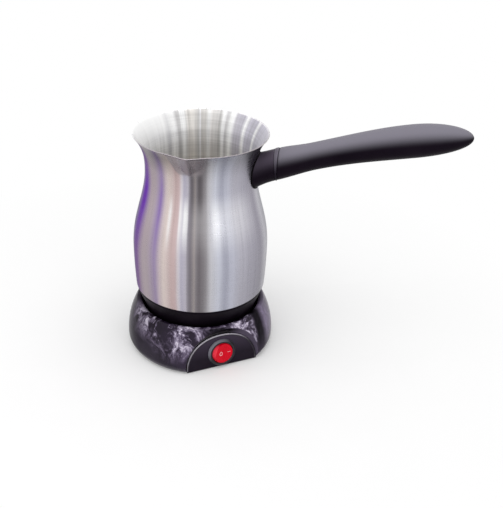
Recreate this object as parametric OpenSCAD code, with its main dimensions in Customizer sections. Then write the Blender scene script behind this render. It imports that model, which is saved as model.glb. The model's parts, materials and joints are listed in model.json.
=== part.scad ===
// Electric Turkish coffee maker: a steel pot with a long handle on a round cordless base.
// Origin: on the axis of the pot, on the surface that the feet stand on.
// +Z is up, +X runs out along the handle, and the pouring lip points to -Y.
// All sizes are in millimetres and degrees.

/* [Pot] */
// Height of the steel pot, from its lower edge to the rim
pot_h = 119; // [100:1:140]
// Radius at the lower edge of the steel
pot_foot_r = 48.5; // [48.2:0.1:52]
// Largest radius, at the belly
pot_belly_r = 49.7; // [49:0.1:56]
// Height of the belly as a share of the steel's height
pot_belly_at = 0.26; // [0.2:0.01:0.34]
// Smallest radius, at the neck
pot_neck_r = 39.7; // [36:0.1:44]
// Height of the neck as a share of the steel's height
pot_neck_at = 0.773; // [0.7:0.005:0.82]
// Radius of the flared rim
pot_rim_r = 48; // [45:0.5:54]
// Thickness of the steel sheet
steel_wall = 0.8; // [0.5:0.1:1.4]
// Height of the steel floor above the lower edge
pot_floor_h = 3.2; // [2.5:0.1:5]
// How far the pouring lip stands out from the rim
lip_out = 3.6; // [2:0.2:7]
// Half of the width of the pouring lip
lip_half_w = 11.5; // [9:0.5:18]
// Height of the pouring lip's pressed wedge
lip_h = 17; // [12:1:24]

/* [Pot underside] */
// Height of the black cup from its underside to the steel
cup_h = 25.7; // [22:0.1:32]
// Radius of the cup where it is widest
cup_top_r = 47.9; // [45:0.1:48.2]
// Radius of the cup at its underside
cup_foot_r = 40.4; // [38:0.2:41]
// Wall of the plastic cup
cup_wall = 2; // [1.4:0.1:3]
// Radius of the aluminium heater plate
plate_r = 37.5; // [36.5:0.5:40]
// Thickness of the heater plate
plate_t = 2.4; // [1.5:0.1:3.5]
// Radius of the heating ring's centre line
element_r = 26.5; // [25:0.5:27]
// Radius of the heating ring's tube
element_tube_r = 3.2; // [2.5:0.1:3.4]
// Angle of the gap in the heating ring between its two cold pins
element_gap = 34; // [24:1:50]
// Radius of the circle of the studs and screws that hold the cup
stud_pcr = 33; // [32.8:0.1:33.2]
// Radius of each stud
stud_r = 2.4; // [2:0.1:2.6]

/* [Handle] */
// Height of the handle's root above the pot's neck
handle_root_up = 0.8; // [-2:0.2:4]
// Distance from the pot's axis to the tip of the handle
handle_reach = 184.6; // [165:1:205]
// Rise of the tip above the root
handle_rise = 37.2; // [30:0.2:42]
// Slope of the handle at the pot
handle_slope = 20; // [17:0.5:23]
// Slope of the handle at its tip
handle_tip_slope = 5; // [0:0.5:12]
// Width of the grip at its root
grip_root_w = 21; // [19:0.2:24]
// Height of the grip at its root
grip_root_t = 21.2; // [19:0.2:24]
// Width of the grip at its waist
grip_waist_w = 18.2; // [16:0.2:20]
// Height of the grip at its waist
grip_waist_t = 18.6; // [16:0.2:20]
// Width of the grip at its palm swell
grip_swell_w = 23.4; // [18:0.2:26]
// Height of the grip at its palm swell
grip_swell_t = 22; // [17:0.2:24]
// Distance from the pot's axis to the end of the collar
collar_end = 50.6; // [48:0.2:53]
// How much the collar grows towards the neck
collar_flare = 1.9; // [0.5:0.1:3]
// Length of the trim ring
ring_len = 3.4; // [2.4:0.1:5]
// How far the trim ring stands proud of the grip
ring_proud = 0.35; // [0.1:0.05:1]
// Thickness of the steel strap inside the handle
strap_t = 2.4; // [1.6:0.1:3]
// Width of the steel strap
strap_w = 10; // [8:0.5:11]
// Distance from the pot's axis to the end of the strap
strap_reach = 92; // [88:1:96]
// How far the handle's screw is set in from the end of the strap
handle_screw_in = 10; // [8:0.5:16]

/* [Base] */
// Height of the base at its crest
base_h = 36.8; // [35:0.2:40]
// Largest radius of the base
base_r = 56.1; // [55.5:0.1:60]
// Height of the largest radius
base_bulge_z = 7; // [5:0.5:10]
// How much smaller the radius is at the lower edge
base_foot_in = 2.9; // [1.5:0.1:4.5]
// Width of the crest, from the mouth of the well to the outer skin
crest_w = 4.4; // [2.8:0.1:5]
// Gap between the standing surface and the lower edge of the housing
base_edge_z = 0.8; // [0.5:0.1:1.5]
// Wall of the housing
base_wall = 2.4; // [1.8:0.1:2.8]
// Height of the floor of the well that the pot stands in
well_floor_z = 25; // [24:0.5:27]
// Radius of the mouth of the well
well_mouth_r = 44.5; // [44.3:0.1:45]
// Radius of the well at its floor
well_floor_r = 41; // [40.8:0.1:41.4]
// Thickness of the bottom cover
cover_t = 1.7; // [1.5:0.05:1.75]
// Gap under the bottom cover
cover_z = 1; // [0.8:0.1:1.1]

/* [Switch panel] */
// Plan angle of the panel, turned from -Y towards +X
panel_turn = 31.5; // [20:0.5:45]
// How far the panel's face is set in from the largest radius, at the standing surface
panel_in = 9.2; // [8.7:0.1:9.6]
// How far the panel leans back
panel_lean = 6; // [4:0.5:6.5]
// Half of the panel's width
panel_half_w = 27.6; // [26:0.2:28]
// Height of the panel's arch
panel_arch_h = 26.6; // [25:0.2:27]
// Thickness of the panel
panel_t = 1.2; // [1:0.1:1.4]
// How far beyond the largest radius the recess around the panel is measured
brow_out = 1.9; // [1:0.1:6]
// Half of the width of the recess at its wide end
brow_half_w = 36; // [30:0.5:37]
// Height of the recess at its wide end
brow_h = 47; // [42:0.5:48]
// Exponent of the arch's outline, where 2 is an ellipse
arch_power = 2.2; // [2:0.1:2.6]

/* [Rocker switch] */
// Height of the switch's centre along the panel
switch_v = 12.3; // [12.2:0.1:13]
// Outer radius of the bezel
bezel_r = 10.9; // [10.4:0.1:11]
// Height of the bezel
bezel_h = 2; // [1.4:0.1:2.4]
// Radius of the switch's barrel
barrel_r = 9.1; // [9:0.05:9.15]
// Radius of the rocker, a slice of a ball
rocker_r = 8.25; // [7.6:0.05:8.3]
// Height of the rocker's face above its pivot
rocker_face_h = 4.2; // [3.4:0.1:5]
// Radius of the hollow in the rocker's face
rocker_hollow_r = 32; // [24:1:60]
// Angle from the rocker's middle position to each end position
rocker_half_swing = 11; // [8:0.5:12]
// Depth of the rocker's pivot behind the panel's face
rocker_pivot_y = 0.5; // [0.4:0.1:0.8]
// Depth of the switch body behind the panel
switch_depth = 14; // [13.8:0.1:15]
// Half of the height across the switch body's flats
switch_flat = 7.2; // [6.8:0.1:7.4]
// Angle of the contact lever from its middle position to each end position
lever_half_swing = 7; // [5:0.5:8]

/* [Coupler] */
// Radius of the base coupler's tower
tower_r = 15.8; // [15.4:0.1:16.4]
// How far the tower stands above the floor of the well
tower_h = 6; // [5:0.2:7]
// Gap between the tower and the pot's socket
tower_gap = 0.7; // [0.5:0.1:1]
// Radius of the earth pin in the middle
pin_r = 2.2; // [1.8:0.1:2.4]
// Mean radius of the live contact ring
live_r = 8; // [7.4:0.1:8.2]
// Mean radius of the neutral contact ring
neutral_r = 12.4; // [12:0.1:12.6]
// Thickness of the contact rings
contact_t = 0.8; // [0.6:0.1:1]
// Height of the glide ring under the pot's socket
glide_h = 1.6; // [1.2:0.1:2]

/* [Feet and cord inlet] */
// How far the feet are set in from the largest radius
feet_in = 17.1; // [16:0.1:20]
// Radius of a foot
foot_r = 5; // [4:0.1:5.5]
// Plan angle of the cord inlet
inlet_angle = 121.5; // [115:0.5:128]
// Height of the cord inlet
inlet_z = 11; // [10.5:0.1:12]
// Radius of the cord's bore in the inlet bush
inlet_bore_r = 3.3; // [2.8:0.1:3.6]
// Radius of the inlet's hole in the housing
inlet_hole_r = 5.2; // [5:0.1:5.6]

/* [Hidden] */
$fn = 96;

// Clearances
touch_gap = 0.3;      // between the pot and what it rests on
fit_gap = 0.15;       // around parts pushed into places of the same body
run_gap = 0.3;        // around parts that turn or lift out
pin_gap = 0.05;       // around the rocker's pivot pins
eps = 0.01;

// Places that follow from the sizes above
pot_belly_h = pot_h * pot_belly_at;
pot_neck_h = pot_h * pot_neck_at;
base_foot_r = base_r - base_foot_in;
base_crest_r = well_mouth_r + crest_w;
panel_d = base_r - panel_in;
brow_d = base_r + brow_out;
feet_pcr = base_r - feet_in;
handle_screw_x = strap_reach - handle_screw_in;

// Levels, from the base up
cup_z = well_floor_z + touch_gap;
steel_z = cup_z + cup_h;
rim_z = steel_z + pot_h;
steel_floor_z = steel_z + pot_floor_h;
plate_z = steel_floor_z - plate_t;
cover_top_z = cover_z + cover_t;
deck_z = well_floor_z - base_wall;

// Screws: one small size for the plastic parts
screw_r = 1.45;
screw_head_r = 2.8;
screw_head_h = 1.6;
screw_slack = 0.2;
boss_r = 3.4;

// Pot underside
stud_count = 3;
stud_a0 = 30;
stud_len = 11;
stud_z = plate_z - stud_len;
cup_lip_h = 1.4;
cup_rim_h = 2;
cup_lip_w = 2.6;
cup_lip_r = pot_foot_r - steel_wall - fit_gap;
cup_round = 4;
cup_head_deep = 5;
cup_boss_r = 4.3;
element_z = plate_z - element_tube_r;
element_a0 = 270 + element_gap / 2;
cold_pin_r = 1.4;
cold_pin_len = 9;
cutout_r = 7.6;
cutout_h = 5.4;
cutout_y = 10;
cutout_tab = [4, 3, 0.8];
fuse_r = 2;
fuse_len = 16;
fuse_y = -10;
fuse_wire_r = 0.6;
fuse_wire_len = 5;
lead_r = 1;

// Coupler
coupler_wall = 2.2;
socket_r = tower_r + tower_gap + coupler_wall;
socket_roof_z = well_floor_z + tower_h + tower_gap;
coupler_top_z = socket_roof_z + 6;
coupler_rim_w = 5;
coupler_rim_t = 2;
coupler_screw_pcr = socket_r + coupler_rim_w / 2;
tab_top_z = coupler_top_z + 3.4;
contact_reach = 7;
contact_set = 2;
slot_gap = 0.7;
tower_foot_z = 9;
tower_floor_t = 4;
arm_angles = [for (a = [80, 138, 274]) panel_turn - 90 + a];
arm_pcr = 22.6;
arm_t = 2;
arm_z = 12.5;
arm_w = 6.4;
contact_tail = [1, 3];
contact_tail_z = 6.5;
contact_block_h = 3;
contact_block_w = 8;

// Handle: a curve from the neck to the tip
handle_root_z = steel_z + pot_neck_h + handle_root_up;
handle_x0 = pot_neck_r - 3.7;
collar_from = handle_x0 - 4;
handle_pull = 50;
ring_end = collar_end + ring_len;
grip_steps = 30;
grip_sides = 28;
grip_power = 2.25;
grip_waist_at = 0.2;
grip_swell_at = 0.7;
grip_tip_from = 0.7;
grip_nose = 0.035;
pad_w = 16;
pad_h = 17;
pad_t = 1.2;
pad_reach = 16;
strap_cut = 20;

// Base
crest_start = 28;
crest_r = (base_crest_r - well_mouth_r) / (1 + cos(crest_start));
crest_join_z = base_h - crest_r * (1 - sin(crest_start));
crest_centre = [well_mouth_r + crest_r, base_h - crest_r];
base_steps = 22;
base_side_power = 2.1;
cavity_top_z = crest_centre[1] - crest_r - 3;
well_round = 1.6;
seat_t = 1.8;
seat_y = panel_t + seat_t;
cover_r = base_foot_r - base_wall - fit_gap;
cover_screw_angles = [for (a = [85, 155, 275]) panel_turn - 90 + a];
cover_screw_pcr = base_r - 13.6;
foot_deep = 1;
foot_stem_r = 1.6;
foot_head_r = 2.4;
foot_head_h = 1.2;
foot_a0 = panel_turn - 45;

// Switch
barrel_bore_r = rocker_r + 0.25;
barrel_round_y = 3.6;
bore_end_y = 3.5;
cell_half = [6.4, 5.4];
cell_end_y = switch_depth - 1.4;
pivot_pin_r = 1.1;
pivot_pin_end = barrel_r - 0.25;
rocker_foot_y = 1.9;
rocker_hollow_deep = 1;
plunger_r = 1.3;
plunger_set = 1;
pivot_pin_from = rocker_r - 0.75;
plunger_tip = 7.9;
lever_y = 10.2;
lever_t = 0.8;
lever_half_w = 5;
lever_w = 4;
lever_bead_r = 0.6;
lever_pivot_y = lever_y + lever_t;
terminal = [0.8, 7, 4.8];
terminal_x = 4.6;
peg_r = 1.5;
peg_x = 19;
peg_v = 9;
clip_t = 0.6;

// Inlet, clamp and terminal block, in the inlet's own frame with X pointing outwards
bush_in = base_r - 7.5;
bush_out = base_r + 2.2;
bush_flange_r = inlet_hole_r + 1.3;
bush_collar_t = 1.4;
inlet_step_x = base_r - 8;
clamp_x = base_r - 18.1;
clamp_size = [6, 22, 5.5];
clamp_screw_y = 8;
block_x = clamp_x - 12;
block_size = [8, 18, 8];
block_z = 6.6;
block_ways = [-6, 0, 6];
block_screw_x = 5.3;
terminal_screw_r = 1.3;
terminal_screw_out = 0.8;

// ---------------------------------------------------------------- outlines

// Outer radius of the steel at height h above its lower edge
function pot_r(h) =
    h < pot_belly_h ?
        pot_belly_r - (pot_belly_r - pot_foot_r) * pow(1 - h / pot_belly_h, 2) :
    h < pot_neck_h ?
        pot_neck_r + (pot_belly_r - pot_neck_r)
            * (1 + cos(180 * pow((h - pot_belly_h) / (pot_neck_h - pot_belly_h), 1.1))) / 2 :
        pot_neck_r + (pot_rim_r - pot_neck_r)
            * pow((h - pot_neck_h) / (pot_h - pot_neck_h), 2.6);

pot_steps = 34;
function pot_side(grow) =
    [for (i = [0 : pot_steps]) let (h = pot_h * i / pot_steps) [pot_r(h) + grow, steel_z + h]];

// Outer radius of the base between its lower edge and its crest
function base_side_r(z) =
    z < base_bulge_z ?
        base_r - (base_r - base_foot_r)
            * pow((base_bulge_z - z) / (base_bulge_z - base_edge_z), 2) :
        base_r - (base_r - base_crest_r)
            * pow((z - base_bulge_z) / (crest_join_z - base_bulge_z), base_side_power);

// Side of the base from its lower edge up to height z1
function base_side(inset, z1) =
    [for (i = [0 : base_steps]) let (z = base_edge_z + (z1 - base_edge_z) * i / base_steps)
        [base_side_r(z) - inset, z]];

function crest_arc() =
    [for (i = [1 : 8]) let (a = crest_start + (180 - crest_start) * i / 8)
        crest_centre + crest_r * [cos(a), sin(a)]];

// Radius of the well's wall at height z
function well_r(z) =
    well_floor_r + (well_mouth_r - well_floor_r)
        * (z - well_floor_z) / (crest_centre[1] - well_floor_z);

function well_corner() =
    [for (i = [0 : 6]) let (a = -90 * i / 6)
        [well_r(well_floor_z + well_round) - well_round + well_round * cos(a),
         well_floor_z + well_round + well_round * sin(a)]];

// Outline of an arch: a superellipse over its foot line
arch_steps = 32;
function spow(x, p) = sign(x) * pow(abs(x), p);
function arch(half_w, h) =
    [for (i = [0 : arch_steps]) let (a = 180 * i / arch_steps)
        [half_w * spow(cos(a), 2 / arch_power), h * spow(sin(a), 2 / arch_power)]];

// ---------------------------------------------------------------- helpers

module tube(r_out, r_in, h) {
    difference() {
        cylinder(r = r_out, h = h);
        translate([0, 0, -1]) cylinder(r = r_in, h = h + 2);
    }
}

module polar(r, a) { rotate([0, 0, a]) translate([r, 0, 0]) children(); }

// Panel frame: X across the panel, Y inwards from its face, Z up along the face
module on_panel() {
    rotate([0, 0, panel_turn]) translate([0, -panel_d, 0]) rotate([-panel_lean, 0, 0]) children();
}
function panel_point(p) = let (
    y = p[1] * cos(panel_lean) + p[2] * sin(panel_lean) - panel_d,
    z = -p[1] * sin(panel_lean) + p[2] * cos(panel_lean))
    [p[0] * cos(panel_turn) - y * sin(panel_turn), p[0] * sin(panel_turn) + y * cos(panel_turn), z];

// Switch frame: as the panel frame, with its origin on the switch's centre
module on_switch() { on_panel() translate([0, 0, switch_v]) children(); }

// Inlet frame: X outwards along the cord, Z up
module on_inlet() { rotate([0, 0, inlet_angle]) children(); }
function inlet_point(p) =
    [p[0] * cos(inlet_angle) - p[1] * sin(inlet_angle),
     p[0] * sin(inlet_angle) + p[1] * cos(inlet_angle), p[2]];

// An arch plate between two depths behind the panel's face
module arch_plate(half_w, h, y0, y1) {
    translate([0, y1, 0]) rotate([90, 0, 0]) linear_extrude(y1 - y0) polygon(arch(half_w, h));
}

// A round bar along +Y between two depths
module bar_y(r, y0, y1) { translate([0, y1, 0]) rotate([90, 0, 0]) cylinder(r = r, h = y1 - y0); }

// A solid through a list of sections with the same number of points
module loft(rings) {
    m = len(rings);
    n = len(rings[0]);
    polyhedron(
        points = [for (r = rings) for (p = r) p],
        faces = concat(
            [[for (i = [0 : n - 1]) i]],
            [for (j = [0 : m - 2]) for (i = [0 : n - 1]) let (k = (i + 1) % n)
                each [[j * n + i, (j + 1) * n + k, j * n + k],
                      [j * n + i, (j + 1) * n + i, (j + 1) * n + k]]],
            [[for (i = [n - 1 : -1 : 0]) (m - 1) * n + i]]),
        convexity = 4);
}

// A lead: a round section carried along a route whose bends are rounded off
lead_sides = 12;
lead_bend = 1.4;
function unit(v) = v / norm(v);
function rounded(p) = [for (i = [0 : len(p) - 1])
    each i == 0 || i == len(p) - 1 ? [p[i]] :
        let (a = p[i] + lead_bend * unit(p[i - 1] - p[i]),
             b = p[i] + lead_bend * unit(p[i + 1] - p[i]))
        [a, (a + 2 * p[i] + b) / 4, b]];
// Each section lies in the plane that halves the bend, and starts from the one before it
function lead_ring(p, i) = let (
    d = i == 0 ? unit(p[1] - p[0]) : unit(p[i] - p[i - 1]),
    n = i == 0 || i == len(p) - 1 ? d : unit(d + unit(p[i + 1] - p[i])),
    side = unit(cross(d, abs(d[2]) > 0.9 ? [1, 0, 0] : [0, 0, 1])))
    i == 0 ? [for (k = [0 : lead_sides - 1]) let (q = 360 * k / lead_sides)
        p[0] + lead_r * (cos(q) * side + sin(q) * cross(d, side))] :
    [for (v = lead_ring(p, i - 1)) v + d * ((p[i] - v) * n) / (d * n)];
module lead(route) {
    p = rounded(route);
    loft([for (i = [0 : len(p) - 1]) lead_ring(p, i)]);
}

// A screw with its head up: the head's underside is at z = 0 and the shank goes down
module screw(shank_r, shank_l, head_r, head_h) {
    translate([0, 0, -shank_l]) cylinder(r = shank_r, h = shank_l + eps);
    difference() {
        cylinder(r = head_r, h = head_h);
        for (a = [0, 90]) rotate([0, 0, a])
            translate([-head_r * 0.6, -0.35, head_h - 0.8]) cube([head_r * 1.2, 0.7, 1]);
    }
}

// ---------------------------------------------------------------- pot

module pot_solid(grow) {
    rotate_extrude() polygon(concat([[0, steel_z]], pot_side(grow), [[0, rim_z]]));
}

// The wedge of the pouring lip: its ridge runs from the neck up and out to the lip's nose
lip_edge_a = asin(lip_half_w / pot_rim_r);
lip_ball = 2.6;
module lip_wedge(shrink) {
    nose_y = pot_rim_r + lip_out - lip_ball;
    hull() {
        translate([0, -nose_y, rim_z - lip_ball]) sphere(r = lip_ball - shrink, $fn = 32);
        translate([0, -nose_y, rim_z]) cylinder(r = lip_ball - shrink, h = 4, $fn = 32);
        translate([0, -pot_r(pot_h - lip_h) + lip_ball, rim_z - lip_h])
            sphere(r = lip_ball - shrink, $fn = 32);
        for (s = [-1, 1]) rotate([0, 0, s * lip_edge_a])
            translate([0, -pot_rim_r + lip_ball, rim_z - 1])
                cylinder(r = lip_ball - shrink, h = 5, $fn = 32);
    }
}

module pot_shell() {
    inner = pot_side(-steel_wall);
    color([0.74, 0.74, 0.76]) difference() {
        union() {
            rotate_extrude()
                polygon(concat(pot_side(0), [for (i = [pot_steps : -1 : 0]) inner[i]]));
            translate([0, 0, steel_floor_z])
                cylinder(r = pot_r(pot_floor_h) - steel_wall / 2, h = steel_wall);
            difference() {
                lip_wedge(0);
                pot_solid(-steel_wall);
                translate([-pot_rim_r, -2 * pot_rim_r, rim_z])
                    cube([2 * pot_rim_r, 2 * pot_rim_r, 10]);
            }
        }
        lip_wedge(steel_wall);
    }
}

module at_studs() {
    for (i = [0 : stud_count - 1]) polar(stud_pcr, stud_a0 + i * 360 / stud_count) children();
}
module weld_studs() {
    color([0.7, 0.7, 0.72]) at_studs() translate([0, 0, stud_z]) tube(stud_r, screw_r, stud_len);
}

module heater_plate() {
    color([0.78, 0.78, 0.78]) translate([0, 0, plate_z]) cylinder(r = plate_r, h = plate_t);
}

module heating_element() {
    color([0.45, 0.42, 0.4]) translate([0, 0, element_z])
        rotate([0, 0, element_a0]) rotate_extrude(angle = 360 - element_gap)
            translate([element_r, 0]) circle(r = element_tube_r);
}

// A cold pin comes out of each end of the heating ring and turns down
cold_pin_out = 3.2;
cold_pin_knee_r = 1.7;
module at_ring_end(side) { polar(element_r, 270 + side * element_gap / 2) children(); }
function cold_pin_end(side) = let (a = 270 + side * element_gap / 2)
    [element_r * cos(a) + side * cold_pin_out * sin(a),
     element_r * sin(a) - side * cold_pin_out * cos(a), element_z - cold_pin_len];
module cold_pins() {
    color([0.8, 0.78, 0.7]) for (side = [-1, 1]) at_ring_end(side)
        translate([0, 0, element_z]) {
            rotate([side * 90, 0, 0]) cylinder(r = cold_pin_r, h = cold_pin_out);
            translate([0, -side * cold_pin_out, 0]) {
                sphere(r = cold_pin_knee_r);
                translate([0, 0, -cold_pin_len]) cylinder(r = cold_pin_r, h = cold_pin_len);
            }
        }
}

module boil_dry_cutout() {
    color([0.86, 0.84, 0.78]) translate([0, cutout_y, plate_z - cutout_h]) {
        cylinder(r = cutout_r, h = cutout_h);
        for (s = [-1, 1]) translate([-cutout_tab[0] / 2, s * (cutout_r + 0.9) - cutout_tab[1] / 2, 1])
            cube(cutout_tab);
    }
}
function cutout_tab_end(s) = [0, cutout_y + s * (cutout_r + 1.1), plate_z - cutout_h + 1];

module thermal_fuse() {
    color([0.85, 0.82, 0.6]) translate([-fuse_len / 2, fuse_y, plate_z - fuse_r])
        rotate([0, 90, 0]) {
            cylinder(r = fuse_r, h = fuse_len);
            translate([0, 0, -fuse_wire_len])
                cylinder(r = fuse_wire_r, h = fuse_len + 2 * fuse_wire_len);
        }
}
function fuse_end(s) = [s * (fuse_len / 2 + fuse_wire_len), fuse_y, plate_z - fuse_r];

module cup_gasket() {
    color([0.75, 0.3, 0.22]) translate([0, 0, steel_z + cup_lip_h])
        tube(cup_lip_r, cup_lip_r - cup_lip_w, pot_floor_h - cup_lip_h);
}

// Side of the cup from its top to its rounded foot
function cup_side(inset) = concat(
    [[cup_top_r - inset, steel_z - cup_rim_h]],
    [for (i = [0 : 8]) let (a = 90 * i / 8)
        [cup_foot_r - cup_round + (cup_round - inset) * cos(a),
         cup_z + cup_round - (cup_round - inset) * sin(a)]]);
module cup_body() {
    inner = cup_side(cup_wall);
    rotate_extrude() polygon(concat(
        [[cup_top_r, steel_z]], cup_side(0), [[0, cup_z], [0, cup_z + cup_wall]],
        [for (i = [len(inner) - 1 : -1 : 0]) inner[i]],
        [[cup_lip_r - cup_lip_w, steel_z], [cup_lip_r - cup_lip_w, steel_z + cup_lip_h],
         [cup_lip_r, steel_z + cup_lip_h], [cup_lip_r, steel_z]]));
}
module pot_cup() {
    color([0.08, 0.07, 0.09]) difference() {
        union() {
            cup_body();
            at_studs() translate([0, 0, cup_z + 1]) cylinder(r = cup_boss_r, h = stud_z - cup_z - 1);
        }
        translate([0, 0, cup_z - 1]) cylinder(r = socket_r + fit_gap, h = cup_wall + 3);
        at_studs() {
            translate([0, 0, cup_z - 1]) cylinder(r = screw_r + screw_slack, h = cup_h);
            translate([0, 0, cup_z - 1]) cylinder(r = screw_head_r + 0.2, h = 1 + cup_head_deep);
        }
        at_coupler_screws() translate([0, 0, cup_z + 0.6]) cylinder(r = screw_r, h = 8);
    }
}

module cup_screws() {
    color([0.7, 0.7, 0.72]) at_studs() translate([0, 0, cup_z + cup_head_deep])
        mirror([0, 0, 1]) screw(screw_r, stud_z + stud_len - cup_z - cup_head_deep - 1.4,
            screw_head_r, screw_head_h);
}

// ---------------------------------------------------------------- coupler, pot side

module at_coupler_screws() { for (a = [90, 210, 330]) polar(coupler_screw_pcr, a) children(); }

module contact_slot(r, gap, z0, z1) {
    translate([0, 0, z0])
        tube(r + contact_t / 2 + gap, r - contact_t / 2 - gap, z1 - z0);
}

glide_z = well_floor_z + run_gap / 2;
skirt_z = glide_z + glide_h + touch_gap;
module pot_coupler() {
    color([0.16, 0.16, 0.17]) difference() {
        union() {
            translate([0, 0, skirt_z]) cylinder(r = socket_r, h = coupler_top_z - skirt_z);
            translate([0, 0, cup_z + cup_wall])
                cylinder(r = socket_r + coupler_rim_w, h = coupler_rim_t);
        }
        cylinder(r = tower_r + tower_gap, h = socket_roof_z);
        translate([0, 0, socket_roof_z - 1]) cylinder(r = pin_r, h = 20);
        contact_ring(live_r, live_tab_a);
        contact_ring(neutral_r, neutral_tab_a);
        at_coupler_screws() cylinder(r = screw_r + screw_slack, h = coupler_top_z);
    }
}

// The contact rings are set in the socket's roof and have a tab on top for a lead
contact_end_z = socket_roof_z - contact_reach;
pin_tip_z = contact_end_z - 1 - pin_r;
tab_w = 4;
module contact_ring(r, tab_a) {
    contact_slot(r, 0, contact_end_z, socket_roof_z + contact_set);
    polar(r, tab_a) translate([-contact_t / 2, -tab_w / 2, socket_roof_z + 1])
        cube([contact_t, tab_w, tab_top_z - socket_roof_z - 1]);
}
live_tab_a = 60;
neutral_tab_a = 240;
module live_ring() { color([0.83, 0.66, 0.32]) contact_ring(live_r, live_tab_a); }
module neutral_ring() { color([0.83, 0.66, 0.32]) contact_ring(neutral_r, neutral_tab_a); }
module earth_pin() {
    color([0.83, 0.66, 0.32]) {
        translate([0, 0, pin_tip_z + pin_r]) cylinder(r = pin_r, h = tab_top_z - pin_tip_z - pin_r);
        translate([0, 0, pin_tip_z + pin_r]) sphere(r = pin_r);
    }
}

module pot_coupler_screws() {
    color([0.7, 0.7, 0.72]) at_coupler_screws()
        translate([0, 0, cup_z + cup_wall + coupler_rim_t])
            screw(screw_r, coupler_rim_t + cup_wall - 0.6, screw_head_r - 0.6, screw_head_h);
}

lead_drop = 6.8;
earth_lug = [15, -3];
function ring_tab_end(r, a) = [r * cos(a), r * sin(a), tab_top_z];
module pot_lead_live() {
    color([0.45, 0.24, 0.12]) lead([ring_tab_end(live_r, live_tab_a),
        ring_tab_end(live_r, live_tab_a) + [0, 0, 1.6],
        cutout_tab_end(-1) - [0, 0, 3], cutout_tab_end(-1)]);
}
module pot_lead_fuse() {
    color([0.9, 0.88, 0.82]) lead([cutout_tab_end(1), cutout_tab_end(1) - [0, 0, 3],
        fuse_end(-1) + [-3, cutout_r - fuse_y + cutout_y - 4.6, -lead_drop],
        fuse_end(-1) + [-5, 5, -lead_drop], fuse_end(-1) - [3, 0, 0], fuse_end(-1)]);
}
module pot_lead_cold() {
    color([0.9, 0.88, 0.82]) lead([fuse_end(1), fuse_end(1) + [3, 0, 0],
        fuse_end(1) + [3, -5, -lead_drop - 3], cold_pin_end(1) - [0, 0, 3], cold_pin_end(1)]);
}
module pot_lead_neutral() {
    color([0.2, 0.35, 0.75]) lead([ring_tab_end(neutral_r, neutral_tab_a),
        ring_tab_end(neutral_r, neutral_tab_a) + [0, 0, 1.6],
        cold_pin_end(-1) - [0, 0, 3], cold_pin_end(-1)]);
}
module pot_lead_earth() {
    color([0.45, 0.62, 0.2]) lead([[0, 0, tab_top_z], [0, 0, tab_top_z + 1.5],
        [0.6 * earth_lug[0], earth_lug[1], tab_top_z + 2],
        [earth_lug[0], earth_lug[1], tab_top_z + 5], [earth_lug[0], earth_lug[1], plate_z]]);
}

// ---------------------------------------------------------------- handle

function handle_p(k) =
    k == 0 ? [handle_x0, handle_root_z] :
    k == 1 ? [handle_x0, handle_root_z] + handle_pull * [1, tan(handle_slope)] :
    k == 2 ? [handle_reach, handle_root_z + handle_rise] - handle_pull * [1, tan(handle_tip_slope)] :
             [handle_reach, handle_root_z + handle_rise];
function handle_at(t) =
    pow(1 - t, 3) * handle_p(0) + 3 * t * pow(1 - t, 2) * handle_p(1)
    + 3 * t * t * (1 - t) * handle_p(2) + pow(t, 3) * handle_p(3);
function handle_dir(t) = let (
    d = pow(1 - t, 2) * (handle_p(1) - handle_p(0)) + 2 * t * (1 - t) * (handle_p(2) - handle_p(1))
        + t * t * (handle_p(3) - handle_p(2)))
    atan2(d[1], d[0]);

// The place on the curve at distance x from the pot's axis, found by halving
function handle_t(x, lo = 0, hi = 1, n = 16) =
    n == 0 ? (lo + hi) / 2 :
    handle_at((lo + hi) / 2)[0] < x ? handle_t(x, (lo + hi) / 2, hi, n - 1)
                                    : handle_t(x, lo, (lo + hi) / 2, n - 1);

function ease(a, b, t) = a + (b - a) * (1 - cos(180 * min(max(t, 0), 1))) / 2;
function grip_size(root, waist, swell, s) =
    (s < grip_waist_at ? ease(root, waist, s / grip_waist_at)
        : ease(waist, swell, (s - grip_waist_at) / (grip_swell_at - grip_waist_at)))
    * (s < grip_tip_from ? 1 : sqrt(max(0, 1 - pow((s - grip_tip_from) / (1 - grip_tip_from), 2))));

// One section of the handle: a superellipse across the curve, with power grip_power.
// Nearer to the axis than the curve's start, the curve goes on straight.
function section(x, w, t) = let (
    k = handle_t(x), a = handle_dir(k),
    c = handle_at(k) + max(0, handle_x0 - x) * [-1, -tan(handle_slope)])
    [for (i = [0 : grip_sides - 1]) let (
        q = 360 * i / grip_sides,
        y = w / 2 * spow(cos(q), 2 / grip_power),
        n = t / 2 * spow(sin(q), 2 / grip_power))
        [c[0] - n * sin(a), y, c[1] + n * cos(a)]];

function collar_size(root, x) =
    root + 2 * collar_flare * pow(max(0, (collar_end - x) / (collar_end - handle_x0)), 2);
function root_sections(x0, x1, steps, grow) =
    [for (i = [0 : steps]) let (x = x0 + (x1 - x0) * i / steps)
        section(x, collar_size(grip_root_w, x) + 2 * grow, collar_size(grip_root_t, x) + 2 * grow)];

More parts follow.
